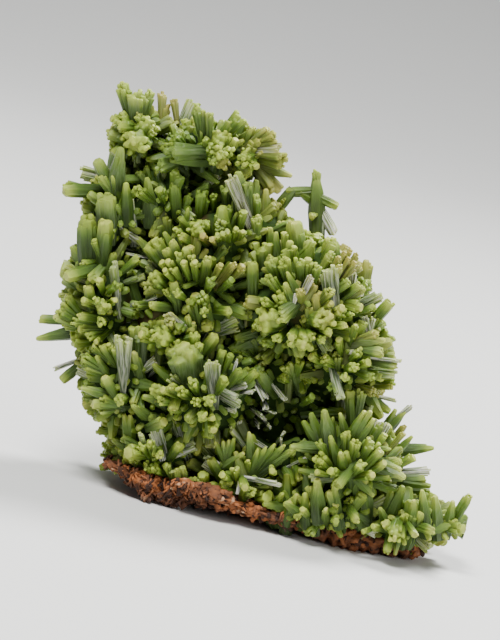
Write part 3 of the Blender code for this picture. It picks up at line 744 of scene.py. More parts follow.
recess = {
    "seed": 27,
    "sides": (
        (247, 385, 229, 390, 0.8, "silk"), (254, 391, 236, 393, 0.9, "silk"),
        (237, 360, 229, 386, 0.8, "silk"), (242, 405, 222, 394, 1.9, "silk"),
        (237, 412, 226, 409, 1.1, "silk"), (267, 400, 256, 382, 1.1, "silk"),
        (266, 409, 263, 397, 0.8, "silk"), (265, 419, 251, 409, 1.2, "silk"),
        (259, 426, 252, 419, 0.8, "silk"), (270, 427, 262, 420, 0.9, "silk"),
        (274, 413, 262, 411, 0.8, "silk"), (230, 428, 244, 446, 1.4, "silk"),
        (240, 420, 236, 436, 0.8, "silk"), (252, 440, 262, 446, 0.8, "silk"),
        (284, 432, 276, 446, 0.9, "silk"),
    ),
    "heads": (
        (223, 351, 1.4), (231, 354, 1.4), (203, 418, 1.9), (213, 418, 1.4, "knob"), (214, 430, 1.7, "knob"),
        (240, 370, 1.5), (256, 372, 1.4),
    ),
}
centreRight = {
    "seed": 28,
    "sides": (
        (275, 293, 286, 309, 2.3), (277, 320, 296, 304, 2.2), (285, 283, 292, 301, 1.7, "barrel"),
        (287, 272, 297, 294, 1.4, "spear"), (296, 294, 290, 312, 0.9, "silk"),
        (295, 221, 300, 252, 2.8, "barrel"), (281, 221, 283, 240, 1.9, "barrel"),
        (301, 232, 304, 252, 0.8, "silk"), (313, 241, 300, 254, 1.9, "barrel"),
        (330, 238, 332, 260, 2.6, "barrel"), (344, 244, 342, 256, 0.5, "silk"), (366, 259, 364, 293, 2.2),
        (371, 283, 366, 296, 0.8, "knob"), (330, 250, 331, 268, 1.4), (328, 266, 332, 302, 2.2, "silk"),
        (312, 275, 303, 293, 1.2, "silk"), (353, 272, 350, 296, 1.1, "silk"),
        (346, 275, 350, 296, 1.1, "silk"), (341, 280, 348, 298, 1.1, "silk"),
        (318, 292, 322, 326, 2.3, "barrel"), (310, 306, 310, 332, 1.6, "barrel"),
        (303, 314, 310, 332, 1.5, "knob"), (362, 308, 343, 303, 1.9, "knob"),
        (363, 294, 350, 299, 0.9, "silk"), (384, 294, 355, 309, 1.7, "silk"),
        (392, 302, 370, 326, 1.9, "barrel"), (365, 315, 368, 336, 1.1, "silk"),
        (373, 317, 369, 336, 1.1, "silk"), (374, 331, 366, 338, 0.6, "silk"),
        (385, 340, 350, 345, 1.6, "barrel"), (383, 352, 350, 347, 1.6, "barrel"), (379, 334, 350, 343, 1.6),
        (401, 361, 368, 358, 1.1, "silk"), (397, 367, 368, 362, 1.1, "barrel"),
        (397, 375, 366, 372, 1.4, "silk"), (350, 348, 338, 332, 1.7, "barrel"),
        (354, 352, 342, 352, 0.7, "silk"), (337, 353, 338, 376, 1.6), (284, 364, 297, 385, 1.6),
        (281, 376, 297, 387, 1.6), (290, 362, 298, 384, 1.5, "barrel"), (318, 373, 302, 368, 1.4),
        (316, 381, 302, 372, 1.4, "knob"), (306, 384, 300, 372, 1.4), (303, 393, 301, 378, 1.2, "knob"),
        (286, 401, 274, 386, 1.1, "silk"), (341, 401, 332, 366, 1.9, "silk"),
        (350, 390, 352, 430, 1.7, "barrel"), (361, 388, 354, 430, 1.7), (361, 383, 358, 400, 1.1, "barrel"),
        (367, 384, 360, 400, 1.1), (375, 393, 362, 402, 1.1), (370, 397, 358, 404, 1.1, "knob"),
        (384, 392, 364, 396, 1.2), (380, 398, 364, 400, 1.2), (397, 401, 372, 402, 1.1, "silk"),
        (390, 412, 372, 408, 2.2, "barrel"), (252, 335, 262, 360, 1.4), (244, 343, 260, 360, 1.4),
        (237, 350, 258, 362, 1.4), (241, 359, 260, 364, 1.4), (262, 334, 268, 356, 2.2, "barrel"),
        (384, 378, 364, 372, 1.5),
    ),
    "heads": (
        (270, 257, 2.0), (283, 258, 2.0), (300, 258, 1.8), (308, 259, 1.7, "knob"), (351, 250, 1.0, "knob"),
        (357, 254, 1.0), (345, 252, 1.0), (339, 257, 1.0, "knob"), (349, 258, 1.0), (355, 262, 1.0, "knob"),
        (331, 290, 1.6), (331, 303, 1.2, "knob"), (342, 308, 1.7, "knob"), (353, 314, 1.0),
        (355, 325, 1.0, "knob"), (330, 316, 3.4, "grand"), (303, 346, 3.4, "grand"), (291, 338, 1.5),
        (300, 358, 1.5), (310, 356, 1.5, "knob"), (323, 341, 1.4), (330, 333, 1.4), (338, 339, 1.4),
        (262, 318, 4.0, "grand"), (262, 327, 1.9, "knob"), (396, 383, 1.4), (392, 387, 1.2, "knob"),
        (318, 322, 1.7), (345, 325, 1.4), (360, 350, 1.6), (355, 366, 1.7), (345, 378, 1.6),
        (368, 362, 1.5), (322, 358, 1.6), (312, 338, 1.5), (300, 290, 1.4), (290, 345, 1.4),
        (275, 340, 1.5), (262, 300, 1.6), (360, 285, 1.4), (375, 306, 1.2), (340, 266, 1.4),
        (318, 264, 1.5), (262, 345, 1.7), (330, 388, 1.5), (312, 396, 1.4, "knob"), (344, 410, 1.5),
    ),
}
lowerRight = {
    "seed": 29, "tapered": 0.8,
    "sides": (
        (311, 413, 322, 448, 1.6), (303, 421, 322, 448, 1.5), (324, 410, 331, 452, 2.0, "barrel"),
        (333, 417, 333, 440, 0.8, "barrel"), (340, 413, 347, 442, 1.2, "barrel"),
        (365, 411, 345, 447, 1.6, "barrel"), (371, 411, 347, 447, 1.5), (374, 419, 350, 448, 1.5, "barrel"),
        (378, 420, 370, 434, 1.2, "silk"), (388, 422, 378, 439, 1.2, "silk"), (396, 409, 390, 428, 1.4),
        (405, 411, 392, 428, 1.4, "barrel"), (413, 405, 400, 414, 0.9, "silk"),
        (434, 448, 400, 449, 2.0, "spear"), (395, 439, 394, 454, 1.2, "barrel"),
        (391, 449, 365, 450, 1.2, "spear"), (405, 478, 374, 464, 1.9, "barrel"), (401, 470, 374, 462, 1.8),
        (432, 471, 402, 475, 1.2, "silk"), (431, 486, 398, 483, 1.4), (426, 480, 398, 482, 1.4, "barrel"),
        (430, 491, 399, 486, 1.4), (403, 486, 392, 512, 1.9, "barrel"), (381, 488, 382, 506, 1.5, "barrel"),
        (387, 489, 384, 506, 1.5), (391, 504, 364, 521, 2.0, "barrel"), (363, 480, 366, 512, 1.4, "barrel"),
        (369, 483, 368, 512, 1.4), (354, 475, 357, 490, 1.4), (343, 508, 356, 516, 1.4, "barrel"),
        (350, 504, 356, 516, 1.4), (422, 490, 425, 524, 1.9, "spear"), (435, 496, 437, 526, 1.9, "barrel"),
        (453, 501, 448, 526, 1.6, "barrel"), (470, 495, 452, 524, 1.4, "barrel"),
        (408, 520, 404, 536, 1.2, "barrel"), (418, 520, 412, 536, 1.2), (395, 555, 398, 536, 1.2, "barrel"),
        (405, 545, 400, 530, 1.2), (466, 530, 446, 526, 1.9, "knob"), (414, 500, 412, 522, 1.6, "barrel"),
        (430, 540, 424, 526, 1.3), (447, 540, 440, 528, 1.3), (456, 518, 444, 526, 1.4),
    ),
    "heads": (
        (412, 436, 1.1), (405, 425, 1.1), (404, 433, 1.1, "knob"), (414, 457, 1.6), (374, 438, 2.2),
        (409, 500, 1.3, "knob"), (393, 537, 2.5, "grand"), (386, 552, 1.4), (372, 525, 1.4),
        (362, 531, 1.1, "knob"), (345, 430, 1.7), (356, 440, 1.7), (330, 436, 1.6), (362, 462, 1.7),
        (384, 462, 1.6), (372, 474, 1.5), (392, 474, 1.5), (350, 496, 1.5), (376, 498, 1.5, "knob"),
        (384, 522, 1.6), (420, 512, 1.5), (404, 512, 1.5), (432, 530, 1.5), (414, 534, 1.4),
        (356, 520, 1.5), (392, 490, 1.4), (400, 460, 1.5), (385, 434, 1.4), (340, 452, 1.6),
        (318, 440, 1.5), (380, 450, 1.4),
    ),
}
stalk = {
    "seed": 30,
    # tip x, tip y, root x, root y, width, form, silk, painted light share (below 1 is painted shade) and how
    # far the tip is nearer, in metres
    "sides": (
        (316, 169, 317, 196, 1.35, "castle", 0.0, 1.0, 0.0),
        (316, 173, 317, 230, 2.1, "taper", 0.0, 0.8, 0.0),
        (318, 204, 317, 244, 1.9, "barrel", 0.1, 0.5, 0.0),
        (321, 216, 319, 246, 1.2, "barrel", 0.3, 0.5, 0.0),
        (338, 207, 326, 201, 1.5, "barrel", 0.0, 1.0, 0.0),
        (334, 235, 325, 219, 1.5, "barrel", 0.9, 0.9, 0.0),
        (286, 192, 303, 191, 1.6, "barrel", 0.0, 0.5, 0.0),
        (275, 211, 284, 200, 1.8, "barrel", 0.0, 0.6, 0.0),
        (282, 202, 286, 198, 0.9, "knob", 0.0, 0.9, 0.0015),
        (311, 217, 318, 213, 1.3, "knob", 0.0, 1.0, 0.0020),
        (325, 194, 318, 204, 1.1, "castle", 0.0, 0.8, 0.0),
        (296, 190, 305, 196, 1.3, "taper", 0.0, 0.6, 0.0005),
    ),
}
regions = {
    "crown": crown, "topRidge": topRidge, "shoulder": shoulder, "leftEdge": leftEdge,
    "centreLeft": centreLeft, "ledgeFront": ledgeFront, "recess": recess,
    "centreRight": centreRight, "lowerRight": lowerRight,
}


def growRegion(name, region):
    chance = random.Random(region["seed"])
    grown = []
    for tipX, tipY, rootX, rootY, width, *named in region["sides"]:
        form = named[0] if named else "castle"
        pointed = form == "barrel" or form == "castle" and "tapered" in region
        if pointed and chance.random() < region.get("tapered", growth["barrelTapered"]):
            form = "taper"
        root, tip = sideCrystal(tipX, tipY, rootX, rootY)
        if form == "silk":
            silk = glossAndGlint["thin" if width < glossAndGlint["thinBelow"] else "thick"]
        else:
            silk = chance.choice(glossAndGlint["placed"])
        wide = width / 1000.0 * growth["widen"]
        middleX, middleY = (tipX + rootX) / 2, (tipY + rootY) / 2
        tan, paintedLight = tanAt(tipX, tipY), brightAt(middleX, middleY)
        grown.append(growCrystal(form, root, tip, wide, tan, silk, chance, paintedLight))
    for x, y, width, *named in region["heads"]:
        form = named[0] if named else "castle"
        if form == "castle" and width < growth["castleFrom"]:
            form = chance.choice(("knob", "castle", "barrel", "taper" if "tapered" in region else "castle"))
        root, tip = headCrystal(x, y, growth["headLength"] * chance.uniform(*growth["headVaries"]))
        wide = width / 1000.0 * growth["headWiden"]
        grown.append(growCrystal(form, root, tip, wide, tanAt(x, y), 0.0, chance, brightAt(x, y)))
    return joinAll(name, grown)


def growStalk():
    chance = random.Random(stalk["seed"])
    grown = []
    for tipX, tipY, rootX, rootY, width, form, silk, paintedLight, nearer in stalk["sides"]:
        root = place(rootX, rootY, growth["stalkDepth"])
        tip = place(tipX, tipY, growth["stalkDepth"] + nearer)
        wide = width / 1000.0 * growth["widen"]
        grown.append(growCrystal(form, root, tip, wide, 0.1, silk, chance, paintedLight))
    return joinAll("stalk", grown)


# The crystals on the back, the sides and the top, and the small ones between all the others
# each fill's share of painted light: below 1 its crystals are darkened as painted shade for the gaps they sit
# in
backFill = {
    "spacing": 0.0060, "length": (0.0036, 0.0060), "width": (0.0028, 0.0040), "seed": 7, "tries": 90,
    "swing": 0.35, "rise": 0.35, "sway": 0.25, "facing": 0.25, "lowest": 0.0018, "reach": 0.0019,
    "paintedLight": 1.0,
    "forms": ("castle", "grand", "castle", "barrel"),
}
middleFill = {
    "spacing": 0.0032, "length": (0.0028, 0.0050), "width": (0.0021, 0.0033), "seed": 8, "tries": 420,
    "swing": 0.45, "rise": 0.35, "sway": 0.35, "facing": 0.25, "lowest": 0.0012, "reach": 0.0019,
    "paintedLight": 0.95,
    "forms": ("castle", "castle", "barrel", "castle", "silk", "taper"),
}
frontFill = {
    "spacing": 0.0029, "length": (0.0022, 0.0040), "width": (0.0016, 0.0027), "seed": 12, "tries": 420,
    "swing": 0.75, "rise": 0.50, "sway": 0.25, "facing": 2.0, "lowest": 0.0012, "reach": 0.0016,
    "paintedLight": 0.66,
    "forms": ("castle", "barrel", "castle", "taper", "knob", "castle", "barrel", "castle", "silk", "taper"),
}
smallFill = {
    "spacing": 0.0015, "length": (0.0005, 0.0014), "width": (0.0009, 0.0016), "seed": 9, "tries": 1100,
    "swing": 0.35, "rise": 0.40, "sway": 0.50, "facing": 2.0, "lowest": 0.0008, "reach": 0.0016,
    "paintedLight": 0.42,
    "forms": ("bud",),
}


fillTans = (0.0, 0.0, 0.0, 0.35)


def growFill(name, fill, share):
    chance = random.Random(fill["seed"] + 100)
    grown = []
    for root, tip, width in fillCrystals(fill):
        x, y = pixelOf(tip)
        front = (root - view["target"]).dot(toward) > 0.0
        depth = hollowDepth(x, y) if front else 0.0
        leftOut = fill is not smallFill and (
            depth > growth["openDepth"] or front and chance.random() < shadeAt(x, y) * growth["thinned"]
        )
        if leftOut:
            continue
        root, tip = root - toward * depth, tip - toward * depth
        form = chance.choice(fill["forms"])
        if y > growth["taperBelow"] and form in ("castle", "barrel") and chance.random() < growth["tapered"]:
            form = "taper"
        silk = chance.choice(glossAndGlint["filledSilk" if form == "silk" else "filled"])
        tan = max(tanAt(x, y) * share, chance.choice(fillTans))
        paintedLight = fill["paintedLight"] * (brightAt(x, y) if front else 1.0)
        grown.append(growCrystal(form, root, tip, width, tan, silk, chance, paintedLight))
    return joinAll(name, grown)


# Crystals that stand on the plate's rim and hang out over its edge, where it isn't bare
# their colour is darkened a little as painted shade
rimFill = {
    "seed": 14, "count": 92, "middle": (0.0030, 0.0, 0.0044), "half": (0.0205, 0.0108), "squareness": 3.2,
    "length": (0.0020, 0.0042), "width": (0.0014, 0.0028), "fall": (-0.75, 0.55), "rise": (-0.0012, 0.0010),
    "sway": (-0.5, 0.5), "clear": 0.0004, "silk": (0.0, 0.0, 0.04), "paintedLight": 0.85,
    "bareTurns": (3.55, 5.05), "bareLength": (0.0012, 0.0026), "bareFall": (0.20, 1.30), "bareRise": 0.0006,
    "forms": ("castle", "barrel", "knob", "taper", "barrel", "silk"),
}


def growRim():
    rim = rimFill
    chance = random.Random(rim["seed"])
    grown = []
    for index in range(rim["count"]):
        turn = 2.0 * math.pi * (index + chance.uniform(-0.4, 0.4)) / rim["count"]
        bare = rim["bareTurns"][0] < turn < rim["bareTurns"][1]
        out = Vector((math.cos(turn), math.sin(turn), 0.0))
        square = rim["squareness"]
        reach = (abs(out.x) ** square + abs(out.y) ** square) ** (-1.0 / square)
        root = Vector(rim["middle"]) + Vector((out.x * rim["half"][0], out.y * rim["half"][1], 0.0)) * reach
        root.z += rim["bareRise"] if bare else chance.uniform(*rim["rise"])
        fall = chance.uniform(*rim["bareFall" if bare else "fall"])
        direction = (out + Vector((chance.uniform(*rim["sway"]), 0.0, fall))).normalized()
        tip = root + direction * chance.uniform(*rim["bareLength" if bare else "length"])
        width = chance.uniform(*rim["width"])
        tip.z = max(tip.z, width * 0.5 + rim["clear"])
        silk = chance.choice(rim["silk"])
        form = chance.choice(rim["forms"])
        grown.append(growCrystal(form, root, tip, width, 0.0, silk, chance, rim["paintedLight"]))
    return joinAll("rimCrystals", grown)


pieces = [growRegion(name, region) for name, region in regions.items()]
pieces.append(growStalk())
pieces.append(growRim())
print("listed crystals are grown")
pieces.append(growFill("backCrystals", backFill, 0.0))
pieces.append(growFill("sideCrystals", middleFill, 1.0))
pieces.append(growFill("betweenCrystals", frontFill, 1.0))
pieces.append(growFill("smallCrystals", smallFill, 1.0))
print("triangles:", {
    piece.name: sum(len(face.vertices) - 2 for face in piece.data.polygons) for piece in pieces
})


# Shader maths as Python expressions: a wire wraps one socket of a node tree
class Wire:
    def __init__(self, tree, socket=None):
        self.tree = tree
        self.socket = socket

    def node(self, kind, settings=None, inputs=None, output=0):
        made = self.tree.nodes.new(kind)
        for name, value in (settings or {}).items():
            setattr(made, name, value)
        for name, value in (inputs or {}).items():
            if isinstance(value, Wire):
                self.tree.links.new(value.socket, made.inputs[name])
            else:
                made.inputs[name].default_value = value
        return Wire(self.tree, made.outputs[output])

    def math(self, operation, first, second):
        return self.node("ShaderNodeMath", {"operation": operation}, {0: first, 1: second})

    def __add__(self, other):
        return self.math("ADD", self, other)

    def __radd__(self, other):
        return self.math("ADD", other, self)

    def __sub__(self, other):
        return self.math("SUBTRACT", self, other)

    def __rsub__(self, other):
        return self.math("SUBTRACT", other, self)

    def __mul__(self, other):
        return self.math("MULTIPLY", self, other)

    def __rmul__(self, other):
        return self.math("MULTIPLY", other, self)

    def spread(self, low, high, newLow=0.0, newHigh=1.0):
        return self.node("ShaderNodeMapRange", {"interpolation_type": "SMOOTHSTEP"}, {
            "Value": self, "From Min": low, "From Max": high, "To Min": newLow, "To Max": newHigh,
        })

    def axis(self, index):
        return self.node("ShaderNodeSeparateXYZ", {}, {0: self}, index)

    def mix(self, factor, first, second):
        return self.node("ShaderNodeMix", {"data_type": "RGBA"}, {0: factor, 6: first, 7: second}, 2)


def startMaterial(name, constants):
    material = bpy.data.materials.new(name)
    material.use_nodes = True
    shader = material.node_tree.nodes["Principled BSDF"]
    for socket, value in constants.items():
        shader.inputs[socket].default_value = value
    return material, shader, Wire(material.node_tree)


def dress(piece, material):
    piece.data.materials.clear()
    piece.data.materials.append(material)


def feed(shader, socket, wire):
    wire.tree.links.new(wire.socket, shader.inputs[socket])


pyromorphite = {
    # the deep green below is painted shade that the crystals darken to towards their roots
    "deep": (0.021, 0.043, 0.006, 1.0),
    "body": (0.076, 0.136, 0.014, 1.0),
    "pale": (0.262, 0.326, 0.044, 1.0),
    "tan": (0.270, 0.215, 0.050, 1.0),
    "rim": (0.440, 0.425, 0.110, 1.0),
    # the pale grey below is a painted glint, streaked into the silky crystals' colour
    "paintedGlint": (0.740, 0.730, 0.620, 1.0),
    "constants": {
        "IOR": 1.5, "Specular IOR Level": 0.26,
        "Subsurface Weight": 0.30, "Subsurface Radius": (0.7, 1.0, 0.2), "Subsurface Scale": 0.0010,
    },
}


def pyromorphiteMaterial():
    look = pyromorphite
    material, shader, wire = startMaterial("pyromorphite", look["constants"])
    grain = wire.node("ShaderNodeAttribute", {"attribute_name": "grain"}, output=1)
    paleTipAndLight = wire.node("ShaderNodeAttribute", {"attribute_name": "paleTipAndLight"}, output=2)
    kind = wire.node("ShaderNodeAttribute", {"attribute_name": "kind"}, output=1)
    tan, silk, own = kind.axis(0), kind.axis(1), kind.axis(2)
    below = grain.axis(2)
    streak = wire.node("ShaderNodeMapping", {}, {0: grain, "Scale": (1.0, 1.0, 0.06)})
    strands = wire.node("ShaderNodeTexNoise", {}, {"Vector": streak, "Scale": 5.0, "Detail": 2.0})
    clouds = wire.node("ShaderNodeTexNoise", {}, {"Vector": grain, "Scale": 0.9, "Detail": 3.0})
    # painted shade: darker towards the roots, with some random variation
    rise = (below + own * 1.6 + clouds * 1.4).spread(-4.2, 0.9)
    depth = wire.mix(rise, look["deep"], look["body"])
    # paler tips: partly the crystals' own paler ends, partly painted light
    lit = (paleTipAndLight * 0.78 + rise * 0.30 + clouds * 0.20).spread(0.36, 1.18)
    streaked = wire.mix(strands.spread(0.35, 0.65) * 0.24, depth, look["body"])
    green = wire.mix(lit, streaked, look["pale"])
    rimmed = wire.mix(paleTipAndLight.spread(0.88, 1.0) * (0.15 + own * 0.45), green, look["rim"])
    tanned = wire.mix(tan * (lit * 0.55 + 0.35), rimmed, look["tan"])
    # painted glint: the silky crystals get white streaks in their colour for the light they reflect
    paintedGlint = wire.mix(silk * (strands.spread(0.42, 0.62) * 0.66 + 0.08), tanned, look["paintedGlint"])
    feed(shader, "Base Color", paintedGlint)
    feed(shader, "Roughness", 0.44 - silk * 0.26 + clouds * 0.08)
    bump = wire.node("ShaderNodeBump", {}, {"Height": strands, "Strength": 0.32, "Distance": 0.00020})
    feed(shader, "Normal", bump)
    return material


# The single crystals on the ledge stand where the frame has them: form and how silky each is
ledgeSingles = {
    "forms": {
        "ledge_crystal_1": ("knob", 0.0), "ledge_crystal_2": ("barrel", 0.2),
        "ledge_crystal_3": ("knob", 0.0), "ledge_crystal_4": ("silk", 0.9),
    },
    "seed": 31, "ends": 0.35, "widen": 1.9, "tan": 0.2,
}


def growLedgeSingles():
    chance = random.Random(ledgeSingles["seed"])
    made = {}
    for name, (form, silk) in ledgeSingles["forms"].items():
        solid = bpy.data.objects[name]
        corners = [vertex.co.copy() for vertex in solid.data.vertices]
        foot = min(corners, key=lambda corner: corner.z).z
        head = max(corners, key=lambda corner: corner.z).z
        end = (head - foot) * ledgeSingles["ends"]
        low = [corner for corner in corners if corner.z < foot + end]
        high = [corner for corner in corners if corner.z > head - end]
        root = sum(low, Vector()) / len(low)
        tip = sum(high, Vector()) / len(high)
        width = max((corner - root).xy.length for corner in low) * ledgeSingles["widen"]
        reach = (tip - root).normalized() * growth["sink"]
        made[name] = growCrystal(form, root + reach, tip, width, ledgeSingles["tan"], silk, chance)
        made[name].name = name.replace("_crystal_", "Single")
    return made


ledgePieces = growLedgeSingles()

pyromorphiteLook = pyromorphiteMaterial()
for piece in [*pieces, *ledgePieces.values()]:
    makeActive(piece)
    dress(piece, pyromorphiteLook)
    bpy.ops.object.shade_smooth_by_angle(angle=masterShape["smoothAngle"])

for master in [*fingerMasters.values(), *(made for group in masters.values() for made in group)]:
    bpy.data.objects.remove(master, do_unlink=True)


# The crust that the crystals stand on: dark green, darkened nearly to black as painted shade of the deep gaps
# between the crystals
crust = {
    "voxel": 0.00055, "bumpSize": 0.0022, "bump": 0.0007, "fineSize": 0.0007, "fine": 0.00035,
    "deep": (0.006, 0.014, 0.003, 1.0),
    "green": (0.024, 0.050, 0.008, 1.0),
    "brown": (0.042, 0.028, 0.010, 1.0),
    "constants": {"Roughness": 0.85, "IOR": 1.3, "Specular IOR Level": 0.2},
}


def addDisplace(piece, name, kind, size, strength):
    texture = bpy.data.textures.new(name, kind)
    texture.noise_scale = size
    displace = piece.modifiers.new(name, "DISPLACE")
    displace.texture = texture
    displace.texture_coords = "LOCAL"
    displace.strength = strength
    displace.mid_level = 0.5
    return texture


def makeCrust():
    lumps = []
    for lobe in lobes.values():
        deselectAll()
        bpy.ops.mesh.primitive_ico_sphere_add(subdivisions=4, radius=1.0)
        lump = bpy.context.object
        middle, half = Matrix.Translation(place(*lobe[:3])), Matrix.Diagonal((*lobe[3:], 1.0))
        lump.data.transform(middle @ pictureTurn @ half)
        lumps.append(lump)
    made = joinAll("crust", lumps)
    addRemesh(made, crust["voxel"], True)
    addDisplace(made, "lumps", "CLOUDS", crust["bumpSize"], crust["bump"])
    addDisplace(made, "grit", "CLOUDS", crust["fineSize"], crust["fine"])
    applyModifiers(made)
    points = readPoints(made.data)
    for index, point in enumerate(points):
        spot = Vector(point)
        if (spot - view["target"]).dot(toward) > 0.0:
            points[index] -= np.array(toward * hollowDepth(*pixelOf(spot)))
    points[:, 2] = np.maximum(points[:, 2], growth["lowestTip"])
    writePoints(made.data, points)
    return made


def crustMaterial():
    material, shader, wire = startMaterial("pyromorphiteCrust", crust["constants"])
    spot = wire.node("ShaderNodeTexCoord", {}, {}, 3)
    patches = wire.node("ShaderNodeTexNoise", {}, {"Vector": spot, "Scale": 180.0, "Detail": 4.0})
    earth = wire.node("ShaderNodeTexNoise", {}, {"Vector": spot, "Scale": 95.0, "Detail": 3.0})
    # painted shade: the crust's greens are near black for the shade in the gaps; the brown patches are its
    # own colour
    green = wire.mix(patches.spread(0.35, 0.65), crust["deep"], crust["green"])
    feed(shader, "Base Color", wire.mix(earth.spread(0.62, 0.72), green, crust["brown"]))
    return material


crustPiece = makeCrust()
dress(crustPiece, crustMaterial())
pieces.append(crustPiece)
print("crust:", len(crustPiece.data.polygons), "faces")


# The limonite plate: a rugged slab with thin walls between its pits, and crumbs along its edge
matrixPlate = {
    "lumps": (
        ((-0.0090, -0.0015, 0.0012), (0.0082, 0.0106, 0.0026)),
        ((0.0034, -0.0005, 0.0012), (0.0112, 0.0118, 0.0030)),
        ((-0.0040, -0.0124, 0.0040), (0.0042, 0.0011, 0.0010)),
        ((0.0160, 0.0005, 0.0012), (0.0110, 0.0108, 0.0030)),
        ((0.0240, 0.0000, 0.0018), (0.0068, 0.0082, 0.0026)),
        ((-0.0138, -0.0035, 0.0028), (0.0056, 0.0078, 0.0010)),
    ),
    "squareness": 4.0,
    "voxel": 0.00032,
    "roughSize": 0.0040, "rough": 0.0014,
    "cellSize": 0.0013, "cell": -0.0024, "cellMiddle": 0.16, "cellStretch": (0.60, 0.9, 1.3),
    "gritSize": 0.0009, "grit": 0.0014,
    "wedge": 0.0030, "wedgeHeight": 0.0040, "wedgeFrom": -0.0110, "wedgeLength": 0.0074,
    "undercut": 0.0016, "undercutShare": 0.10,
    "recess": 0.0012, "recessHeight": 0.0020,
    # how far the plate's front edge stands off the floor along it: x and lift
    "arch": (
        (-0.0140, 0.0), (-0.0100, 0.0006), (-0.0040, 0.0015),
        (0.0050, 0.0016), (0.0125, 0.0013), (0.0165, 0.0),
    ),
    "archFront": (-0.0040, 0.0040),
    "ripple": 0.0012, "rippleHeight": 0.0026, "ripples": ((1150.0, 0.4), (2300.0, 1.9), (3900.0, 0.8)),
    "walls": 560, "wallSizes": ((0.0006, 0.0018), (0.00014, 0.00034), (0.0006, 0.0014)),
    "crumbs": 1300, "crumbSize": (0.00022, 0.00070), "crumbShape": (1.0, 0.8, 0.7),
    "wallRelief": (-1.9, 1.4), "crumbRelief": (-2.4, 1.9),     # low is dark and high is pale
    # for the walls and crumbs: low relief gets the painted pit shade, high relief the cream that is partly
    # painted highlight
    "rimHeight": (0.0004, 0.0050),
    "bare": (-0.0210, -0.0035), "seed": 5,
}


def bendMesh(made, stretch):
    made.data.transform(Matrix.Diagonal((*stretch, 1.0)))


def setRelief(made, before, after, normals):
    # ridges stand above the plate's smooth form and pits below it
    relief = ((after - before) * normals).sum(axis=1)
    relief = (relief - relief.mean()) / relief.std()
    made.data.attributes.new("relief", "FLOAT", "POINT")
    made.data.attributes["relief"].data.foreach_set("value", relief.astype(np.float32))


def makeSlab():
    plate = matrixPlate
    lumps = []
    for middle, half in plate["lumps"]:
        deselectAll()
        bpy.ops.mesh.primitive_ico_sphere_add(subdivisions=5, radius=1.0)
        lump = bpy.context.object
        ball = readPoints(lump.data)
        spread = (np.abs(ball) ** plate["squareness"]).sum(axis=1) ** (1.0 / plate["squareness"])
        writePoints(lump.data, ball / spread[:, None] * np.array(half) + np.array(middle))
        lumps.append(lump)
    made = joinAll("matrixPlate", lumps)
    addRemesh(made, plate["voxel"], True)
    addDisplace(made, "rugged", "CLOUDS", plate["roughSize"], plate["rough"])
    applyModifiers(made)
    smooth = readPoints(made.data)
    normals = np.array([vertex.normal for vertex in made.data.vertices], dtype=np.float32)
    bendMesh(made, plate["cellStretch"])
    cells = addDisplace(made, "cells", "VORONOI", plate["cellSize"], plate["cell"])
    cells.weight_1 = -1.0
    cells.weight_2 = 1.0
    made.modifiers["cells"].mid_level = plate["cellMiddle"]
    addDisplace(made, "grit", "CLOUDS", plate["gritSize"], plate["grit"])
    applyModifiers(made)
    bendMesh(made, [1.0 / share for share in plate["cellStretch"]])
    points = readPoints(made.data)
    setRelief(made, smooth, points, normals)
    under = np.clip(1.0 - points[:, 2] / plate["undercut"], 0.0, 1.0) * plate["undercutShare"]
    points[:, 0] -= (points[:, 0] - 0.003) * under * 0.6
    points[:, 1] -= points[:, 1] * under
    bare = np.clip((plate["bare"][1] - points[:, 0]) / 0.002, 0.0, 1.0) * (points[:, 1] < -0.004)
    band = np.clip(1.0 - np.abs(points[:, 2] - plate["recessHeight"]) / plate["recessHeight"], 0.0, 1.0)
    points[:, 1] += plate["recess"] * bare * np.sqrt(band)
    ripple = sum(np.sin(points[:, 0] * pitch + shift) for pitch, shift in plate["ripples"])
    ragged = np.clip(ripple, 0.0, None) * np.clip(1.0 - points[:, 2] / plate["rippleHeight"], 0.0, 1.0)
    points[:, 1] -= np.sign(points[:, 1]) * np.minimum(ragged * plate["ripple"], np.abs(points[:, 1]))
    points[:, 2] = np.maximum(points[:, 2], 0.0)
    low = np.clip(1.0 - points[:, 2] / plate["wedgeHeight"], 0.0, 1.0)
    left = np.clip((plate["wedgeFrom"] - points[:, 0]) / plate["wedgeLength"], 0.0, 1.0)
    points[:, 2] += plate["wedge"] * low * left
    front = np.clip((plate["archFront"][0] - points[:, 1]) / plate["archFront"][1], 0.0, 1.0)
    points[:, 2] += low * front * np.interp(points[:, 0], *zip(*plate["arch"]))
    writePoints(made.data, points)
    return made


def breakUp(fractal, seed):
    # the newest primitive gets an uneven surface
    bpy.ops.object.mode_set(mode="EDIT")
    bpy.ops.mesh.subdivide(number_cuts=1, fractal=fractal, seed=seed)
    bpy.ops.object.mode_set(mode="OBJECT")
    return bpy.context.object


def makeWall():
    deselectAll()
    bpy.ops.mesh.primitive_cube_add(size=1.0)
    return breakUp(0.35, 3)


def makeCrumb():
    deselectAll()
    bpy.ops.mesh.primitive_ico_sphere_add(subdivisions=1, radius=1.0)
    return breakUp(0.5, 8)


def stick(master, point, normal, sizes, chance, relief):
    # a copy of the master that stands out of the slab, turned at random about the slab's normal
    made = copyOf(master)
    turn = normal.to_track_quat("Z", "Y").to_matrix() @ Matrix.Rotation(chance.uniform(0.5, 2.6), 3, "Z")
    turn = turn @ Matrix.Rotation(chance.uniform(-0.5, 0.5), 3, "X")
    points = readPoints(made.data) * np.array(sizes, dtype=np.float32)
    points = points @ np.array(turn, dtype=np.float32).T + np.array(point, dtype=np.float32)
    points[:, 2] = np.maximum(points[:, 2], 0.0)
    writePoints(made.data, points)
    made.data.attributes.new("relief", "FLOAT", "POINT")
    made.data.attributes["relief"].data.foreach_set("value", np.full(len(points), relief, dtype=np.float32))
    return made


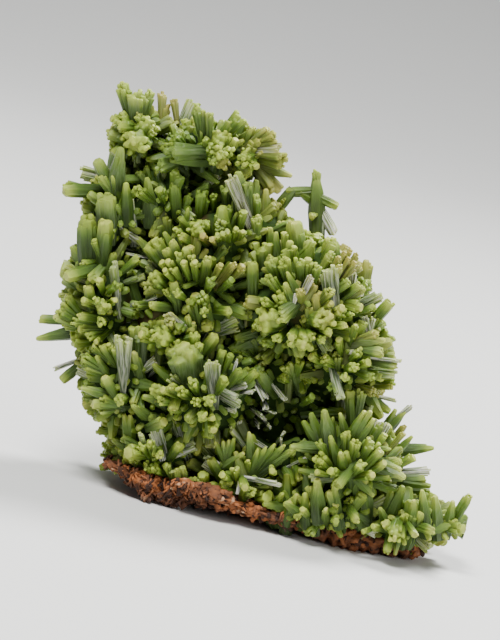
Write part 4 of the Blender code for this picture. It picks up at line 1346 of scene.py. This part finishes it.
def makeMatrix():
    plate = matrixPlate
    chance = random.Random(plate["seed"])
    slab = makeSlab()
    low, high = plate["rimHeight"]
    rim = [face for face in slab.data.polygons if low < face.center.z < high and abs(face.normal.z) < 0.75]
    start, end = plate["bare"]
    bare = [face for face in rim if face.normal.y < -0.3 and start < face.center.x < end]
    wall, crumb = makeWall(), makeCrumb()
    parts = [slab]
    for index in range(plate["walls"]):
        face = chance.choice(bare if index % 4 else rim)
        sizes = [chance.uniform(*limits) for limits in plate["wallSizes"]]
        relief = chance.uniform(*plate["wallRelief"])
        parts.append(stick(wall, face.center, face.normal, sizes, chance, relief))
    for index in range(plate["crumbs"]):
        face = chance.choice(rim)
        size = chance.uniform(*plate["crumbSize"])
        sizes = [size * share for share in plate["crumbShape"]]
        relief = chance.uniform(*plate["crumbRelief"])
        parts.append(stick(crumb, face.center, face.normal, sizes, chance, relief))
    bpy.data.objects.remove(wall, do_unlink=True)
    bpy.data.objects.remove(crumb, do_unlink=True)
    return joinAll("matrixPlate", parts)


limonite = {
    # the darkest brown is painted shade for the insides of the pits
    "paintedPitShade": (0.032, 0.012, 0.006, 1.0),
    "brown": (0.100, 0.038, 0.017, 1.0),
    "orange": (0.320, 0.104, 0.030, 1.0),
    # cream is partly the stone's own pale spots and partly painted highlight on ridges and the upper edge
    "creamAndHighlight": (0.620, 0.400, 0.240, 1.0),
}


def limoniteMaterial():
    material, shader, wire = startMaterial("limonite", {"IOR": 1.5, "Specular IOR Level": 0.35})
    spot = wire.node("ShaderNodeTexCoord", {}, {}, 3)
    relief = wire.node("ShaderNodeAttribute", {"attribute_name": "relief"}, output=2)
    layered = wire.node("ShaderNodeMapping", {}, {0: spot, "Scale": (0.45, 0.6, 1.5)})
    broad = wire.node("ShaderNodeTexNoise", {}, {"Vector": layered, "Scale": 300.0, "Detail": 5.0})
    height = spot.axis(2)
    fine = wire.node("ShaderNodeTexNoise", {}, {"Vector": spot, "Scale": 1100.0, "Detail": 4.0})
    creamAndHighlight = wire.node("ShaderNodeTexNoise", {}, {"Vector": layered, "Scale": 420.0, "Detail": 6.0})
    # mottled brown and orange is the stone's own colour; more orange higher up is painted light on the upper
    # edge
    earthy = (broad * 0.7 + fine * 0.3 + height * 32.0).spread(0.46, 0.74)
    earth = wire.mix(earthy, limonite["brown"], limonite["orange"])
    # painted shade: darker in the pits
    pitShaded = wire.mix((relief * -1.0 + fine * 1.2).spread(0.6, 2.0), earth, limonite["paintedPitShade"])
    # cream on ridges and along the upper edge: partly the stone's own pale spots, partly painted highlight
    ridges = (relief * 0.35 + creamAndHighlight * 2.6 + height * 60.0).spread(2.12, 2.55)
    feed(shader, "Base Color", wire.mix(ridges * 0.75, pitShaded, limonite["creamAndHighlight"]))
    feed(shader, "Roughness", 0.65 + fine * 0.25)
    bump = wire.node("ShaderNodeBump", {}, {"Height": fine, "Strength": 0.7, "Distance": 0.00025})
    feed(shader, "Normal", bump)
    return material


matrixPiece = makeMatrix()
dress(matrixPiece, limoniteMaterial())
print("matrix:", len(matrixPiece.data.polygons), "faces")


# Camera, floor and light
studio = {
    "floorSize": 3.0,
    "sweepStart": 0.5,
    "sweepRadius": 0.8,
    "floorColour": (0.62, 0.62, 0.60, 1.0),
    "worldColour": (0.80, 0.83, 0.88, 1.0),
    "worldStrength": 0.22,
    "lamps": {
        # name: place, size and watts
        "key": ((-0.16, -0.30, 0.60), 0.24, 9.5),
        "fill": ((0.50, -0.40, 0.22), 0.30, 2.5),
        "top": ((0.20, 0.26, 0.48), 0.20, 8.0),
    },
}


def makeCamera():
    data = bpy.data.cameras.new("camera")
    camera = bpy.data.objects.new("camera", data)
    bpy.context.scene.collection.objects.link(camera)
    camera.matrix_world = Matrix.Translation(view["target"] + toward * view["distance"]) @ pictureTurn
    data.sensor_width = view["sensor"]
    halfHeight = view["halfPicture"] * view["metresPerPixel"]
    data.lens = view["sensor"] / 2.0 * view["distance"] / halfHeight
    data.clip_start = 0.01
    bpy.context.scene.camera = camera


def makeFloor():
    deselectAll()
    bpy.ops.mesh.primitive_plane_add(size=studio["floorSize"])
    floor = bpy.context.object
    floor.name = "floor"
    bpy.ops.object.mode_set(mode="EDIT")
    bpy.ops.mesh.subdivide(number_cuts=60)
    bpy.ops.object.mode_set(mode="OBJECT")
    points = readPoints(floor.data)
    past = np.maximum(points[:, 1] - studio["sweepStart"], 0.0)
    angle = np.minimum(past / studio["sweepRadius"], math.pi / 2)
    swept = studio["sweepStart"] + np.sin(angle) * studio["sweepRadius"]
    points[:, 1] = np.where(past > 0, swept, points[:, 1])
    points[:, 2] = (1.0 - np.cos(angle)) * studio["sweepRadius"]
    writePoints(floor.data, points)
    floor.data.shade_smooth()
    material, _, _ = startMaterial("paleFloor", {"Base Color": studio["floorColour"], "Roughness": 0.6})
    floor.data.materials.append(material)


def makeLight():
    world = bpy.data.worlds.new("world")
    world.use_nodes = True
    background = world.node_tree.nodes["Background"]
    background.inputs["Color"].default_value = studio["worldColour"]
    background.inputs["Strength"].default_value = studio["worldStrength"]
    bpy.context.scene.world = world
    for name, (where, size, watts) in studio["lamps"].items():
        data = bpy.data.lights.new(name, "AREA")
        data.size = size
        data.energy = watts
        lamp = bpy.data.objects.new(name, data)
        lamp.location = where
        lamp.rotation_euler = (view["target"] - Vector(where)).to_track_quat("-Z", "Y").to_euler()
        bpy.context.scene.collection.objects.link(lamp)


makeCamera()
makeFloor()
makeLight()

for piece in pieces:
    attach(piece, "root")
    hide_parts("crystals")
for name, piece in ledgePieces.items():
    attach(piece, "root")
    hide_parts(name)
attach(matrixPiece, "root")
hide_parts("matrix")
